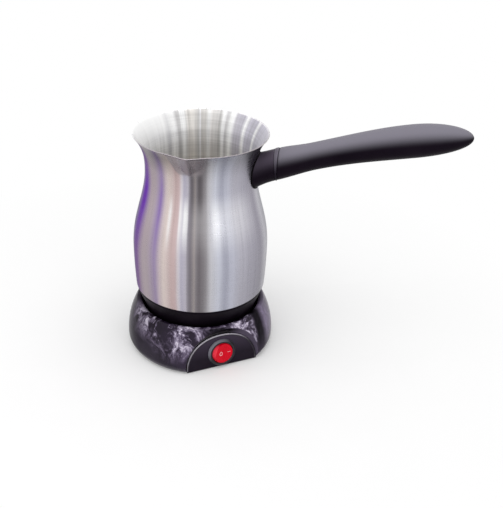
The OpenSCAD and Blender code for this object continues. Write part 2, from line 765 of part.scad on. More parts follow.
// The strap runs straight along the root of the curve
strap_z0 = handle_at(handle_t(pot_neck_r))[1];
strap_z1 = handle_at(handle_t(strap_reach))[1];
strap_a = atan2(strap_z1 - strap_z0, strap_reach - pot_neck_r);
module on_strap() { translate([pot_neck_r, 0, strap_z0]) rotate([0, -strap_a, 0]) children(); }
strap_len = (strap_reach - pot_neck_r) / cos(strap_a);
screw_on_strap = (handle_screw_x - pot_neck_r) / cos(strap_a);
module strap_bar(grow) {
    on_strap() translate([-2, -strap_w / 2 - grow, -strap_t / 2 - grow])
        cube([strap_len + 2 + grow, strap_w + 2 * grow, strap_t + 2 * grow]);
}
module strap_pad(grow) {
    intersection() {
        pot_solid(pad_t + grow);
        translate([pot_neck_r - pad_reach / 2, -pad_w / 2 - grow, strap_z0 - pad_h / 2 - grow])
            cube([pad_reach, pad_w + 2 * grow, pad_h + 2 * grow]);
    }
}
module handle_strap() {
    color([0.6, 0.6, 0.62]) difference() {
        union() {
            strap_pad(0);
            strap_bar(0);
        }
        pot_solid(0);
        on_strap() translate([screw_on_strap, 0, -strap_cut / 2])
            cylinder(r = screw_r, h = strap_cut);
    }
}
module handle_collar() {
    color([0.12, 0.11, 0.13]) difference() {
        loft(root_sections(collar_from, collar_end, 8, 0));
        pot_solid(0);
        strap_pad(fit_gap);
        strap_bar(fit_gap);
    }
}
module handle_ring() {
    color([0.2, 0.19, 0.21]) difference() {
        loft(root_sections(collar_end, ring_end, 2, ring_proud));
        strap_bar(fit_gap);
    }
}
handle_head_deep = 4.2;
handle_head_z = -grip_waist_t / 2 + handle_head_deep;
module handle_grip() {
    color([0.12, 0.11, 0.13]) difference() {
        loft([for (i = [0 : grip_steps]) let (
                s = (1 - grip_nose * grip_nose) * sin(90 * i / grip_steps),
                x = ring_end + s * (handle_reach - ring_end))
            section(x, grip_size(grip_root_w, grip_waist_w, grip_swell_w, s),
                grip_size(grip_root_t, grip_waist_t, grip_swell_t, s))]);
        strap_bar(fit_gap);
        on_strap() translate([screw_on_strap, 0, 0]) {
            translate([0, 0, -strap_cut]) cylinder(r = screw_r + screw_slack, h = strap_cut + 4);
            translate([0, 0, -strap_cut])
                cylinder(r = screw_head_r + 0.3, h = strap_cut + handle_head_z);
        }
    }
}
module handle_screw() {
    color([0.7, 0.7, 0.72]) on_strap() translate([screw_on_strap, 0, handle_head_z])
        mirror([0, 0, 1]) screw(screw_r, -handle_head_z + strap_t / 2 + 1, screw_head_r, screw_head_h);
}

// ---------------------------------------------------------------- base

module base_solid() {
    rotate_extrude() polygon(concat([[0, base_edge_z]], base_side(0, crest_join_z), crest_arc(),
        [[0, crest_centre[1]]]));
}
module base_well() {
    rotate_extrude() polygon(concat([[0, base_h + 1], [well_mouth_r, base_h + 1],
        [well_mouth_r, crest_centre[1]]], well_corner(), [[0, well_floor_z]]));
}
module base_cavity() {
    rotate_extrude() polygon(concat([[0, base_edge_z - 1],
        [base_foot_r - base_wall, base_edge_z - 1]], base_side(base_wall, cavity_top_z),
        [[well_r(cavity_top_z) + base_wall, cavity_top_z],
         [well_floor_r + base_wall, deck_z], [0, deck_z]]));
}

module at_cover_screws() { for (a = cover_screw_angles) polar(cover_screw_pcr, a) children(); }
module at_arm_screws() { for (a = arm_angles) polar(arm_pcr, a) children(); }
module at_clamp_screws() {
    on_inlet() for (s = [-1, 1])
        translate([clamp_x + clamp_size[0] / 2, s * clamp_screw_y, 0]) children();
}
module at_block_screw() {
    on_inlet() translate([block_x + block_screw_x, block_ways[1] + 3, 0]) children();
}
cord_z = inlet_z;
block_top_z = block_z + block_size[2];
module cord_channel(x0, x1, r) {
    on_inlet() translate([x0, 0, cord_z]) rotate([0, 90, 0]) cylinder(r = r, h = x1 - x0);
}

// The recess for the switch panel: a pocket for the panel that opens out to the front
module recess(grow, back) {
    hull() {
        on_panel() arch_plate(panel_half_w + grow, panel_arch_h + grow, 0, back);
        rotate([0, 0, panel_turn]) translate([0, -brow_d, 0])
            arch_plate(brow_half_w + grow, brow_h + grow, -1, 0);
    }
}
module housing_bosses() {
    at_cover_screws() translate([0, 0, cover_top_z])
        cylinder(r = boss_r, h = deck_z + 1 - cover_top_z);
    at_arm_screws() translate([0, 0, arm_z + arm_t])
        cylinder(r = boss_r, h = deck_z + 1 - arm_z - arm_t);
    on_inlet() translate([clamp_x, -clamp_size[1] / 2, cord_z])
        cube([clamp_size[0], clamp_size[1], deck_z + 1 - cord_z]);
    at_block_screw() translate([-boss_r, -boss_r, block_top_z])
        cube([2 * boss_r, 2 * boss_r, deck_z + 1 - block_top_z]);
}
module base_housing() {
    color([0.13, 0.1, 0.15]) difference() {
        union() {
            difference() {
                base_solid();
                base_cavity();
            }
            intersection() {
                base_solid();
                union() {
                    recess(base_wall, seat_y);
                    housing_bosses();
                }
            }
        }
        base_well();
        recess(fit_gap, panel_t);
        on_switch() bar_y(barrel_r + fit_gap, -1, switch_depth);
        at_pegs() bar_y(peg_r + fit_gap, -1, seat_y + 1);
        translate([0, 0, deck_z - 1]) cylinder(r = tower_r + fit_gap, h = base_wall + 2);
        at_cover_screws() cylinder(r = screw_r, h = deck_z - 1);
        at_arm_screws() cylinder(r = screw_r, h = deck_z);
        at_clamp_screws() cylinder(r = screw_r, h = deck_z - 2);
        at_block_screw() cylinder(r = screw_r, h = deck_z - 1);
        cord_channel(clamp_x - 1, inlet_step_x, inlet_bore_r);
        cord_channel(inlet_step_x, base_r + 5, inlet_hole_r);
    }
}

module at_pegs() { on_panel() for (s = [-1, 1]) translate([s * peg_x, 0, peg_v]) children(); }
module switch_panel() {
    color([0.12, 0.11, 0.14]) {
        difference() {
            on_panel() arch_plate(panel_half_w, panel_arch_h, 0, panel_t);
            on_switch() bar_y(barrel_r + fit_gap, -1, panel_t + 1);
            translate([-base_r, -base_r, -1]) cube([2 * base_r, base_r, 1 + base_edge_z]);
        }
        at_pegs() bar_y(peg_r, panel_t - eps, seat_y + clip_t + 0.8);
    }
}
module panel_clips() {
    color([0.7, 0.7, 0.72]) at_pegs() difference() {
        bar_y(peg_r + 1.8, seat_y, seat_y + clip_t);
        bar_y(peg_r, seat_y - 1, seat_y + clip_t + 1);
    }
}

// ---------------------------------------------------------------- rocker switch

module bezel() {
    rotate([90, 0, 0]) rotate_extrude() polygon([
        [barrel_bore_r, 0], [bezel_r, 0], [bezel_r, 0.5], [bezel_r - 1.3, bezel_h],
        [barrel_bore_r, bezel_h]]);
}
module at_terminals() { for (x = [-terminal_x, 0, terminal_x]) translate([x, 0, 0]) children(); }
module switch_body() {
    color([0.3, 0.3, 0.33]) on_switch() difference() {
        union() {
            bezel();
            bar_y(barrel_r, -eps, barrel_round_y);
            intersection() {
                bar_y(barrel_r, barrel_round_y - eps, switch_depth);
                translate([-barrel_r, 0, -switch_flat])
                    cube([2 * barrel_r, switch_depth, 2 * switch_flat]);
            }
        }
        bar_y(barrel_bore_r, -bezel_h - 1, bore_end_y);
        translate([-cell_half[0], 0, -cell_half[1]])
            cube([2 * cell_half[0], cell_end_y, 2 * cell_half[1]]);
        translate([0, rocker_pivot_y, -barrel_r])
            cylinder(r = pivot_pin_r + pin_gap, h = 2 * barrel_r);
        at_terminals() translate([-terminal[0] / 2, cell_end_y - 1, -terminal[2] / 2])
            cube([terminal[0], switch_depth, terminal[2]]);
    }
}
// The middle terminal carries the lever, the side ones carry the fixed contacts
module switch_terminals() {
    color([0.83, 0.66, 0.32]) on_switch() at_terminals()
        translate([-terminal[0] / 2, cell_end_y - 0.6, -terminal[2] / 2])
            cube([terminal[0], switch_depth - cell_end_y + 0.6 + terminal[1], terminal[2]]);
    color([0.83, 0.66, 0.32]) on_switch()
        translate([-terminal[0] / 2, lever_pivot_y + lever_bead_r + pin_gap, -terminal[2] / 2])
            cube([terminal[0], cell_end_y - lever_pivot_y - lever_bead_r, terminal[2]]);
}
function terminal_end(x, beyond) =
    panel_point([x, switch_depth + terminal[1] + beyond, switch_v]);

// The rocker at rest is pressed in on its "I" side, the +X side of the panel
module on_rocker() {
    on_switch() translate([0, rocker_pivot_y, 0]) rotate([0, 0, rocker_half_swing]) children();
}
module rocker() {
    color([0.82, 0.08, 0.16]) on_rocker() {
        difference() {
            sphere(r = rocker_r);
            translate([-rocker_r, rocker_foot_y - rocker_pivot_y, -rocker_r])
                cube(2 * rocker_r);
            translate([-rocker_r, -2 * rocker_r - rocker_face_h, -rocker_r]) cube(2 * rocker_r);
            translate([0, rocker_hollow_deep - rocker_face_h - rocker_hollow_r, -rocker_r])
                cylinder(r = rocker_hollow_r, h = 2 * rocker_r, $fn = 180);
            bar_y(plunger_r, plunger_set, rocker_r);
        }
        for (s = [-1, 1]) scale([1, 1, s]) translate([0, 0, pivot_pin_from])
            cylinder(r = pivot_pin_r, h = pivot_pin_end - pivot_pin_from);
    }
}
module rocker_plunger() {
    color([0.9, 0.88, 0.82]) on_rocker() {
        bar_y(plunger_r, plunger_set, plunger_tip);
        translate([0, plunger_tip, 0]) sphere(r = plunger_r);
    }
}
module contact_lever() {
    color([0.83, 0.66, 0.32]) on_switch() translate([0, lever_pivot_y, 0])
        rotate([0, 0, -lever_half_swing]) {
            translate([-lever_half_w, -lever_t, -lever_w / 2])
                cube([2 * lever_half_w, lever_t, lever_w]);
            translate([0, 0, -lever_w / 2]) cylinder(r = lever_bead_r, h = lever_w);
            for (s = [-1, 1]) translate([s * terminal_x, 0, 0]) bar_y(0.9, -0.01, 0.3);
        }
}

// ---------------------------------------------------------------- coupler, base side

tower_top_z = well_floor_z + tower_h;
module base_coupler() {
    color([0.1, 0.1, 0.11]) difference() {
        union() {
            translate([0, 0, tower_foot_z]) cylinder(r = tower_r, h = tower_top_z - tower_foot_z);
            intersection() {
                for (a = arm_angles) rotate([0, 0, a])
                    translate([tower_r - 2, -arm_w / 2, arm_z]) cube([20, arm_w, arm_t]);
                cylinder(r = arm_pcr + boss_r, h = 60);
            }
        }
        translate([0, 0, tower_foot_z + tower_floor_t]) cylinder(r = pin_r + slot_gap, h = 40);
        contact_slot(live_r, slot_gap, tower_foot_z + tower_floor_t, tower_top_z + 1);
        contact_slot(neutral_r, slot_gap, tower_foot_z + tower_floor_t, tower_top_z + 1);
        at_arm_screws() cylinder(r = screw_r + screw_slack, h = 40);
        at_contact_tails() cube([contact_tail[0], contact_tail[1], 60], center = true);
    }
}
module base_coupler_screws() {
    color([0.7, 0.7, 0.72]) at_arm_screws() translate([0, 0, arm_z]) mirror([0, 0, 1])
        screw(screw_r, arm_t + 6, screw_head_r, screw_head_h);
}

// Each contact is a block under its ring or pin, on a tail down through the tower's floor.
// For each one: the radius of its ring, its plan angle and the height of its top.
contacts = [[live_r, 300, contact_end_z - touch_gap], [neutral_r, 120, contact_end_z - touch_gap],
    [0, 0, pin_tip_z - touch_gap]];
module at_contact_tails() { for (c = contacts) polar(c[0], c[1]) children(); }
module base_contacts() {
    color([0.83, 0.66, 0.32]) for (c = contacts) {
        intersection() {
            if (c[0] > 0) contact_slot(c[0], slot_gap - 0.1, c[2] - contact_block_h, c[2]);
            else translate([0, 0, c[2] - contact_block_h])
                cylinder(r = pin_r + slot_gap - 0.1, h = contact_block_h);
            rotate([0, 0, c[1]]) translate([c[0] > 0 ? 0 : -10, -contact_block_w / 2, 0])
                cube([20, contact_block_w, 60]);
        }
        polar(c[0], c[1])
            translate([-contact_tail[0] / 2, -contact_tail[1] / 2, contact_tail_z])
                cube([contact_tail[0], contact_tail[1], c[2] - contact_tail_z - 1]);
    }
}
function contact_tail_end(c) = [c[0] * cos(c[1]), c[0] * sin(c[1]), contact_tail_z];

module glide_ring() {
    color([0.85, 0.84, 0.8]) translate([0, 0, glide_z])
        tube(socket_r - fit_gap, tower_r + run_gap, glide_h);
}

// ---------------------------------------------------------------- underside of the base

module at_foot(k) { polar(feet_pcr, foot_a0 + 90 * k) children(); }
module bottom_cover() {
    color([0.11, 0.1, 0.12]) difference() {
        translate([0, 0, cover_z]) cylinder(r = cover_r, h = cover_t);
        on_panel() translate([-base_r, -20, -10]) cube([2 * base_r, 20 + seat_y + fit_gap, 40]);
        at_cover_screws() cylinder(r = screw_r + screw_slack, h = 10);
        at_cover_screws() cylinder(r = screw_head_r + 0.3, h = cover_z + cover_t / 2);
        for (k = [0 : 3]) at_foot(k) {
            cylinder(r = foot_r + fit_gap, h = cover_z + foot_deep);
            cylinder(r = foot_stem_r, h = 10);
        }
    }
}
module cover_screws() {
    color([0.7, 0.7, 0.72]) at_cover_screws() translate([0, 0, cover_z + cover_t / 2])
        mirror([0, 0, 1]) screw(screw_r, 11, screw_head_r, cover_t / 2 - 0.1);
}
module foot(k) {
    color([0.07, 0.07, 0.07]) at_foot(k) {
        cylinder(r = foot_r, h = cover_z + foot_deep);
        cylinder(r = foot_stem_r, h = cover_top_z + foot_head_h);
        translate([0, 0, cover_top_z]) cylinder(r = foot_head_r, h = foot_head_h);
    }
}
module foot_1() { foot(0); }
module foot_2() { foot(1); }
module foot_3() { foot(2); }
module foot_4() { foot(3); }

// ---------------------------------------------------------------- cord inlet and wiring

module inlet_bush() {
    wall_in = base_side_r(inlet_z) - base_wall;
    color([0.06, 0.06, 0.06]) on_inlet() translate([0, 0, inlet_z]) rotate([0, 90, 0])
        difference() {
            union() {
                translate([0, 0, bush_in]) cylinder(r = inlet_hole_r - fit_gap, h = bush_out - bush_in);
                translate([0, 0, base_r + fit_gap])
                    cylinder(r = bush_flange_r, h = bush_out - base_r - fit_gap);
                translate([0, 0, wall_in - 1.4 - bush_collar_t])
                    cylinder(r = bush_flange_r, h = bush_collar_t);
            }
            cylinder(r = inlet_bore_r, h = base_r + 10);
        }
}
module cord_clamp() {
    color([0.2, 0.2, 0.22]) difference() {
        on_inlet() translate([clamp_x, -clamp_size[1] / 2, cord_z - clamp_size[2]]) cube(clamp_size);
        cord_channel(clamp_x - 1, clamp_x + clamp_size[0] + 1, inlet_bore_r);
        at_clamp_screws() cylinder(r = screw_r + screw_slack, h = 40);
    }
}
module clamp_screws() {
    color([0.7, 0.7, 0.72]) {
        at_clamp_screws() translate([0, 0, cord_z - clamp_size[2]]) mirror([0, 0, 1])
            screw(screw_r, clamp_size[2] + 6, screw_head_r, screw_head_h);
        at_block_screw() translate([0, 0, block_z]) mirror([0, 0, 1])
            screw(screw_r, block_size[2] + 6, screw_head_r, screw_head_h);
    }
}
module terminal_block() {
    color([0.9, 0.9, 0.86]) difference() {
        on_inlet() translate([block_x, -block_size[1] / 2, block_z]) cube(block_size);
        on_inlet() for (y = block_ways)
            translate([block_x - 1, y, cord_z]) rotate([0, 90, 0]) cylinder(r = lead_r + 0.2, h = 20);
        at_terminal_screws() cylinder(r = terminal_screw_r, h = cord_z - block_z + terminal_screw_out);
        at_block_screw() cylinder(r = screw_r + screw_slack, h = 40);
    }
}
module at_terminal_screws() {
    on_inlet() for (y = block_ways)
        translate([block_x + 2, y, block_z - terminal_screw_out]) children();
}
module terminal_screws() {
    color([0.75, 0.75, 0.77]) at_terminal_screws() cylinder(r = terminal_screw_r, h = 3);
}
function block_end(k) = inlet_point([block_x, block_ways[k], cord_z]);
function before_block(k, z = cord_z) = inlet_point([block_x - 3, block_ways[k], z]);
function tail_route(c) = [contact_tail_end(c) - [0, 0, 1.6], contact_tail_end(c)];
// The live lead loops round the tower, under its arms, to the middle of the switch
lead_loop = [for (a = [86, 28, -17]) [arm_pcr * 1.2 * cos(a), arm_pcr * 1.2 * sin(a),
    tower_foot_z - 2]];
lead_room = (panel_d - tower_r - switch_depth - terminal[1]) / 2;
under_tower_z = tower_foot_z - 3.5;
module base_lead_live() {
    color([0.45, 0.24, 0.12]) lead(concat([block_end(0), before_block(0)], lead_loop,
        [terminal_end(0, lead_room), terminal_end(0, 0)]));
}
module base_lead_neutral() {
    color([0.2, 0.35, 0.75]) lead(concat([block_end(1), before_block(1),
        before_block(1, under_tower_z)], tail_route(contacts[1])));
}
module base_lead_earth() {
    color([0.45, 0.62, 0.2]) lead(concat([block_end(2), before_block(2),
        before_block(2, under_tower_z)], tail_route(contacts[2])));
}
module base_lead_switched() {
    color([0.3, 0.16, 0.08]) lead(concat(
        [terminal_end(-terminal_x, 0), terminal_end(-terminal_x, lead_room - 0.5),
         terminal_end(-terminal_x, lead_room - 0.5) - [0, 0, terminal[2] / 2 + 2 * lead_r]],
        tail_route(contacts[0])));
}

// ---------------------------------------------------------------- assembly

pot_shell();
weld_studs();
heater_plate();
heating_element();
cold_pins();
boil_dry_cutout();
thermal_fuse();
cup_gasket();
pot_cup();
cup_screws();
pot_coupler();
earth_pin();
live_ring();
neutral_ring();
pot_coupler_screws();
pot_lead_live();
pot_lead_fuse();
pot_lead_cold();
pot_lead_neutral();
pot_lead_earth();
handle_strap();
handle_collar();
handle_ring();
handle_grip();
handle_screw();
base_housing();
switch_panel();
panel_clips();
switch_body();
switch_terminals();
rocker();
rocker_plunger();
contact_lever();
base_coupler();
base_coupler_screws();
base_contacts();
glide_ring();
bottom_cover();
cover_screws();
foot_1();
foot_2();
foot_3();
foot_4();
inlet_bush();
cord_clamp();
clamp_screws();
terminal_block();
terminal_screws();
base_lead_live();
base_lead_switched();
base_lead_neutral();
base_lead_earth();
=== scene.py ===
import json
import math

import bmesh
import bpy
from mathutils import Matrix, Vector


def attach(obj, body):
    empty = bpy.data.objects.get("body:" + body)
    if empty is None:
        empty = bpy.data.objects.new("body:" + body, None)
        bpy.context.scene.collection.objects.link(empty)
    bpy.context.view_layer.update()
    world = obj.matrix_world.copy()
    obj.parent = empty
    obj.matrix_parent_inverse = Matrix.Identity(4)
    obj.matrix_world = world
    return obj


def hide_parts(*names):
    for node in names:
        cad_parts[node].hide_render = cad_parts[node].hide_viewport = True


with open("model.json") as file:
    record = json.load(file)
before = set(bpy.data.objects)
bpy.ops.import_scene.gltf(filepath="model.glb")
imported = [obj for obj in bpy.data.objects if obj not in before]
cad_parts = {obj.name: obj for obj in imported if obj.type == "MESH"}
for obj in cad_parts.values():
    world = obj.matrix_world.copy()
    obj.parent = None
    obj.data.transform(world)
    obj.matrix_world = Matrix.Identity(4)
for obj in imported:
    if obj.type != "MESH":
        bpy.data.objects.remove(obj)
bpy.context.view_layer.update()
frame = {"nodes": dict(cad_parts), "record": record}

MM = 0.001

# Sizes that the scene shares with the CAD model, in millimetres and degrees
STEEL_Z = 51.0
POT_H = 119.0
BELLY_H = 0.26 * POT_H
NECK_H = 0.773 * POT_H
BELLY_R, FOOT_R, NECK_R, RIM_R = 49.7, 48.5, 39.7, 48.0
WALL = 0.8
FLOOR_H = 3.2
LIP_OUT, LIP_HALF_W, LIP_H = 3.6, 11.5, 17.0
BASE_R, BASE_FOOT_R, BASE_CREST_R = 56.1, 53.2, 48.9
BASE_EDGE_Z, BULGE_Z, CREST_Z = 0.8, 7.0, 35.6
PANEL_TURN, PANEL_D, PANEL_LEAN = 31.5, 46.9, 6.0
PANEL_HALF_W, PANEL_H, ARCH_POWER = 27.6, 26.6, 2.2
SWITCH_V = 12.3

# The view's plan angle, and the plan angle at which the camera stands as seen from the pot's axis
VIEW_TURN = 7.0
CAMERA_SIDE = VIEW_TURN + 4.1


def cos(a):
    return math.cos(math.radians(a))


def sin(a):
    return math.sin(math.radians(a))


def ease(a, b, t):
    """From a at t = 0 to b at t = 1, with a soft start and end."""
    return a + (b - a) * (1 - cos(180 * min(max(t, 0), 1))) / 2


def signed_power(v, p):
    return math.copysign(abs(v) ** p, v)


# ------------------------------------------------------------------ node trees

def srgb(text):
    """A colour as it is written in sRGB, made linear."""
    levels = [int(text[i:i + 2], 16) / 255 for i in (0, 2, 4)]
    return tuple(c / 12.92 if c <= 0.04045 else ((c + 0.055) / 1.055) ** 2.4 for c in levels)


def colour_of(v):
    """A linear colour with alpha, from an sRGB text, from one grey level or from three levels."""
    if isinstance(v, str):
        return (*srgb(v), 1.0)
    return (*v, 1.0) if isinstance(v, tuple) else (v, v, v, 1.0)


def feed(tree, made, **inputs):
    """Sets a node's inputs to numbers, vectors, colours or other nodes' outputs.

    An input goes by its name with _ for a space, or by its place as _0, _1 and so on.
    """
    for k, v in inputs.items():
        socket = made.inputs[int(k[1:]) if k[0] == "_" else k.replace("_", " ")]
        if isinstance(v, bpy.types.NodeSocket):
            tree.links.new(v, socket)
        else:
            socket.default_value = colour_of(v) if socket.type == "RGBA" else v
    return made


def node(tree, kind, props=None, **inputs):
    """A shader node with its settings and its inputs."""
    made = tree.nodes.new("ShaderNode" + kind)
    for k, v in (props or {}).items():
        setattr(made, k, v)
    return feed(tree, made, **inputs)


def maths(tree, op, a, b=0.0, c=0.0):
    return node(tree, "Math", {"operation": op}, _0=a, _1=b, _2=c).outputs[0]


def plus(tree, a, b):
    return maths(tree, "ADD", a, b)


def minus(tree, a, b):
    return maths(tree, "SUBTRACT", a, b)


def most(tree, a, b):
    return maths(tree, "MAXIMUM", a, b)


def times(tree, a, *others):
    for b in others:
        a = maths(tree, "MULTIPLY", a, b)
    return a


def vector(tree, op, **inputs):
    return node(tree, "VectorMath", {"operation": op}, **inputs).outputs[0]


def axes_of(tree, at):
    return node(tree, "SeparateXYZ", Vector=at).outputs


def spread(tree, value, lo, hi, to_lo=0.0, to_hi=1.0):
    """Maps lo to to_lo and hi to to_hi, with no change beyond them."""
    return node(tree, "MapRange", Value=value, From_Min=lo, From_Max=hi,
                To_Min=to_lo, To_Max=to_hi).outputs[0]


def ramp(tree, fac, stops, smooth="LINEAR"):
    """A colour ramp through stops of (place, colour or grey level)."""
    made = node(tree, "ValToRGB", Fac=fac)
    cr = made.color_ramp
    cr.interpolation = smooth
    while len(cr.elements) < len(stops):
        cr.elements.new(0.5)
    for e, (place, colour) in zip(cr.elements, stops):
        e.position = place
        e.color = colour_of(colour)
    return made.outputs["Color"]


def by_turn(tree, turn, stops):
    """A ramp round the pot's axis, with the stops' places in degrees from the camera's side."""
    return ramp(tree, turn, [(0.5 + a / 360, colour) for a, colour in stops])


def mix(tree, fac, a, b, how="MIX"):
    return node(tree, "Mix", {"data_type": "RGBA", "blend_type": how, "clamp_result": False},
                _0=fac, _6=a, _7=b).outputs[2]


def toned(tree, colour, fac, lo, hi, dark, light):
    """A colour times a tone that goes from dark, where fac is lo, to light, where it is hi."""
    tone = ramp(tree, spread(tree, fac, lo, hi), [(0.0, dark), (1.0, light)])
    return mix(tree, 1.0, colour, tone, "MULTIPLY")


def noise(tree, at, scale, detail=3.0, rough=0.5, distort=0.0):
    return node(tree, "TexNoise", Vector=at, Scale=scale, Detail=detail, Roughness=rough,
                Distortion=distort).outputs["Fac"]


def stretched(tree, at, scale):
    return node(tree, "Mapping", Vector=at, Scale=scale).outputs[0]


def rounded_edges(tree, radius):
    """A normal whose hard edges are rounded off."""
    return node(tree, "Bevel", {"samples": 4}, Radius=radius).outputs[0]


def bump(tree, height, distance, strength=1.0, **normal):
    return node(tree, "Bump", Height=height, Distance=distance, Strength=strength, **normal).outputs[0]


def start(name, **fixed):
    """A material with its constant numbers on the shader's own sockets."""
    mat = bpy.data.materials.new(name)
    mat.use_nodes = True
    tree = mat.node_tree
    bsdf = feed(tree, tree.nodes["Principled BSDF"], **fixed)
    return mat, tree, bsdf, node(tree, "TexCoord").outputs["Object"]


def moulded(name, low, high, rough=(0.4, 0.5), grain=900.0, deep=0.00002, rounding=0.0003, bloom=None,
            fade=None, **fixed):
    """Moulded plastic or rubber: two near colours, a fine grain and slightly uneven gloss.

    bloom gives painted light, a paler tone on faces that look one way, as (direction, colour, from, to);
    fade gives painted light as another tone by height in millimetres, as (colour, from, to).
    """
    mat, tree, bsdf, at = start(name, **fixed)
    cloud = noise(tree, at, 45.0, 4.0, 0.6)
    fine = noise(tree, at, grain, 2.0, 0.6)
    colour = mix(tree, spread(tree, cloud, 0.3, 0.7), low, high)
    if bloom:
        way, pale, lo, hi = bloom
        normal = node(tree, "TexCoord").outputs["Normal"]
        facing = node(tree, "VectorMath", {"operation": "DOT_PRODUCT"}, _0=normal, _1=way).outputs["Value"]
        facing = ramp(tree, spread(tree, facing, lo, hi), [(0.0, 0.0), (1.0, 1.0)], "EASE")
        colour = mix(tree, facing, colour, pale)
    if fade:
        tone, lo, hi = fade
        colour = mix(tree, spread(tree, axes_of(tree, at)[2], lo * MM, hi * MM), colour, tone)
    worn = plus(tree, times(tree, cloud, 0.6), times(tree, fine, 0.4))
    feed(tree, bsdf, Base_Color=colour, Roughness=spread(tree, worn, 0.3, 0.7, *rough),
         Normal=bump(tree, fine, deep, Normal=rounded_edges(tree, rounding)))
    return mat


def metal(name, low, high, rough=(0.2, 0.35), along=(60.0, 60.0, 900.0), deep=0.00001):
    """Bare metal: tints that drift, and fine drawn lines in colour, gloss and relief."""
    mat, tree, bsdf, at = start(name, Metallic=1.0)
    lines = noise(tree, stretched(tree, at, along), 4.0, 3.0, 0.6)
    cloud = noise(tree, at, 120.0, 3.0, 0.55)
    both = plus(tree, times(tree, lines, 0.5), times(tree, cloud, 0.5))
    feed(tree, bsdf, Base_Color=mix(tree, spread(tree, both, 0.3, 0.7), low, high),
         Roughness=spread(tree, lines, 0.3, 0.7, *rough),
         Normal=bump(tree, lines, deep, Normal=rounded_edges(tree, 0.0002)))
    return mat


# ------------------------------------------------------------------ steel of the pot

def plan_turn(tree, at):
    """Plan angle round the pot's axis from 0 to 1, with 0.5 on the camera's side."""
    turned = node(tree, "VectorRotate", {"rotation_type": "Z_AXIS"}, Vector=at,
                  Angle=math.radians(90 - CAMERA_SIDE)).outputs[0]
    x, y, _ = axes_of(tree, turned)
    return maths(tree, "MULTIPLY_ADD", maths(tree, "ARCTAN2", y, x), 1 / (2 * math.pi), 0.5)


def upright_streaks(tree, at, scale):
    """Noise over the direction from the pot's axis, stretched along its height."""
    x, y, z = axes_of(tree, at)
    outward = vector(tree, "NORMALIZE", _0=node(tree, "CombineXYZ", X=x, Y=y, Z=0.0).outputs[0])
    up = node(tree, "CombineXYZ", X=0.0, Y=0.0, Z=times(tree, z, 0.7)).outputs[0]
    return noise(tree, vector(tree, "ADD", _0=outward, _1=up), scale, 2.0, 0.7)


def painted_violet_reflection(tree, bsdf, base, drift, height):
    """Painted reflections: two violet bands on the camera's left, strongest at the waist and in what shines
    at a low angle.
    """
    violet = by_turn(tree, drift, [
        (-100, 0), (-86, 0.2), (-79, 0.5), (-73, 0.95), (-67, 0.95), (-61.5, 0.35), (-57, 0), (-49, 0),
        (-45.5, 0.2), (-42, 0.55), (-39.5, 0.25), (-36.5, 0)])
    waist = ramp(tree, height, [(0.0, 0.1), (0.3, 0.3), (0.46, 0.65), (0.6, 1.0), (0.7, 1.0), (0.82, 0.45),
                                (1.0, 0.1)])
    feed(tree, bsdf, Specular_Tint=mix(tree, times(tree, violet, 0.95), 1.0, "b8a3ce"))
    return mix(tree, times(tree, violet, waist), base, "7547b4")


def painted_lip_shade(tree, base, turn, z):
    """Painted shade: a darker tone on the lip's left facet, down to its rounded foot."""
    off = maths(tree, "ABSOLUTE", minus(tree, turn, 0.5 - CAMERA_SIDE / 360))
    up = spread(tree, z, (STEEL_Z + POT_H - LIP_H) * MM, (STEEL_Z + POT_H) * MM)
    bowl = maths(tree, "POWER", times(tree, off, 360 / LIP_BOWL), 5.0)
    facet = times(tree, spread(tree, minus(tree, up, bowl), -0.04, 0.1, 0.0, 0.8),
                  by_turn(tree, turn, [(-14, 1), (-4, 0.75), (8, 0)]))
    return mix(tree, facet, base, "8d8589")


def belly_lights(tree, base, drift, height):
    """White highlights on the upper half of the belly."""
    sheen = by_turn(tree, drift, [
        (-32, 0), (-29.8, 0.85), (-27.2, 0), (-21, 0), (-19.2, 0.85), (-17.8, 0), (-15.5, 0.8), (-13, 0.8),
        (-11.4, 0), (-8, 0.06), (-3, 0.12), (4, 0.12), (9, 0.05), (12.5, 0.55), (16, 0.45), (20, 0.3),
        (42, 0.25), (62, 0)])
    spot = ramp(tree, height, [(0.38, 0), (0.5, 0.7), (0.58, 1), (0.64, 0.9), (0.74, 0)], "CARDINAL")
    return mix(tree, times(tree, sheen, spot), base, 1.0)


def painted_neck_darkening(tree, base, drift, height):
    """Painted dark reflections: two short dark streaks under the lip, and darker steel where the neck flares
    out to the rim.
    """
    two = by_turn(tree, drift, [(-11, 0), (-8, 1), (-6, 0.6), (-4.5, 0.15), (-2.5, 1), (0.5, 0.9), (3, 0)])
    short = ramp(tree, height, [(0.6, 0), (0.7, 1), (0.84, 1), (0.88, 0)])
    base = toned(tree, base, times(tree, two, short), 0.0, 1.0, 1.0, 0.7)
    sides = by_turn(tree, drift, [(-100, 0), (-76, 1), (-38, 1), (-26, 0.4), (-15, 0), (30, 0), (48, 0.6),
                                  (75, 0.6), (100, 0)])
    under_rim = ramp(tree, height, [(0.83, 0), (0.9, 0.5), (0.95, 1)])
    return toned(tree, base, times(tree, sides, under_rim), 0.0, 1.0, 1.0, 0.6)


def painted_inner_light(tree, base, drift, height):
    """A painted white reflection at the inside's upper left, and a darker, warmer tone deep down."""
    left = by_turn(tree, drift, [(-154, 0), (-140, 0.9), (-95, 1), (-70, 0.3), (-50, 0)])
    top = ramp(tree, height, [(0.78, 0.0), (0.9, 0.7), (1.0, 1.0)])
    base = mix(tree, times(tree, left, top), base, 1.0)
    warm = ramp(tree, height, [(0.55, (0.93, 0.9, 0.84)), (0.85, 1.0)])
    return mix(tree, 1.0, base, warm, "MULTIPLY")


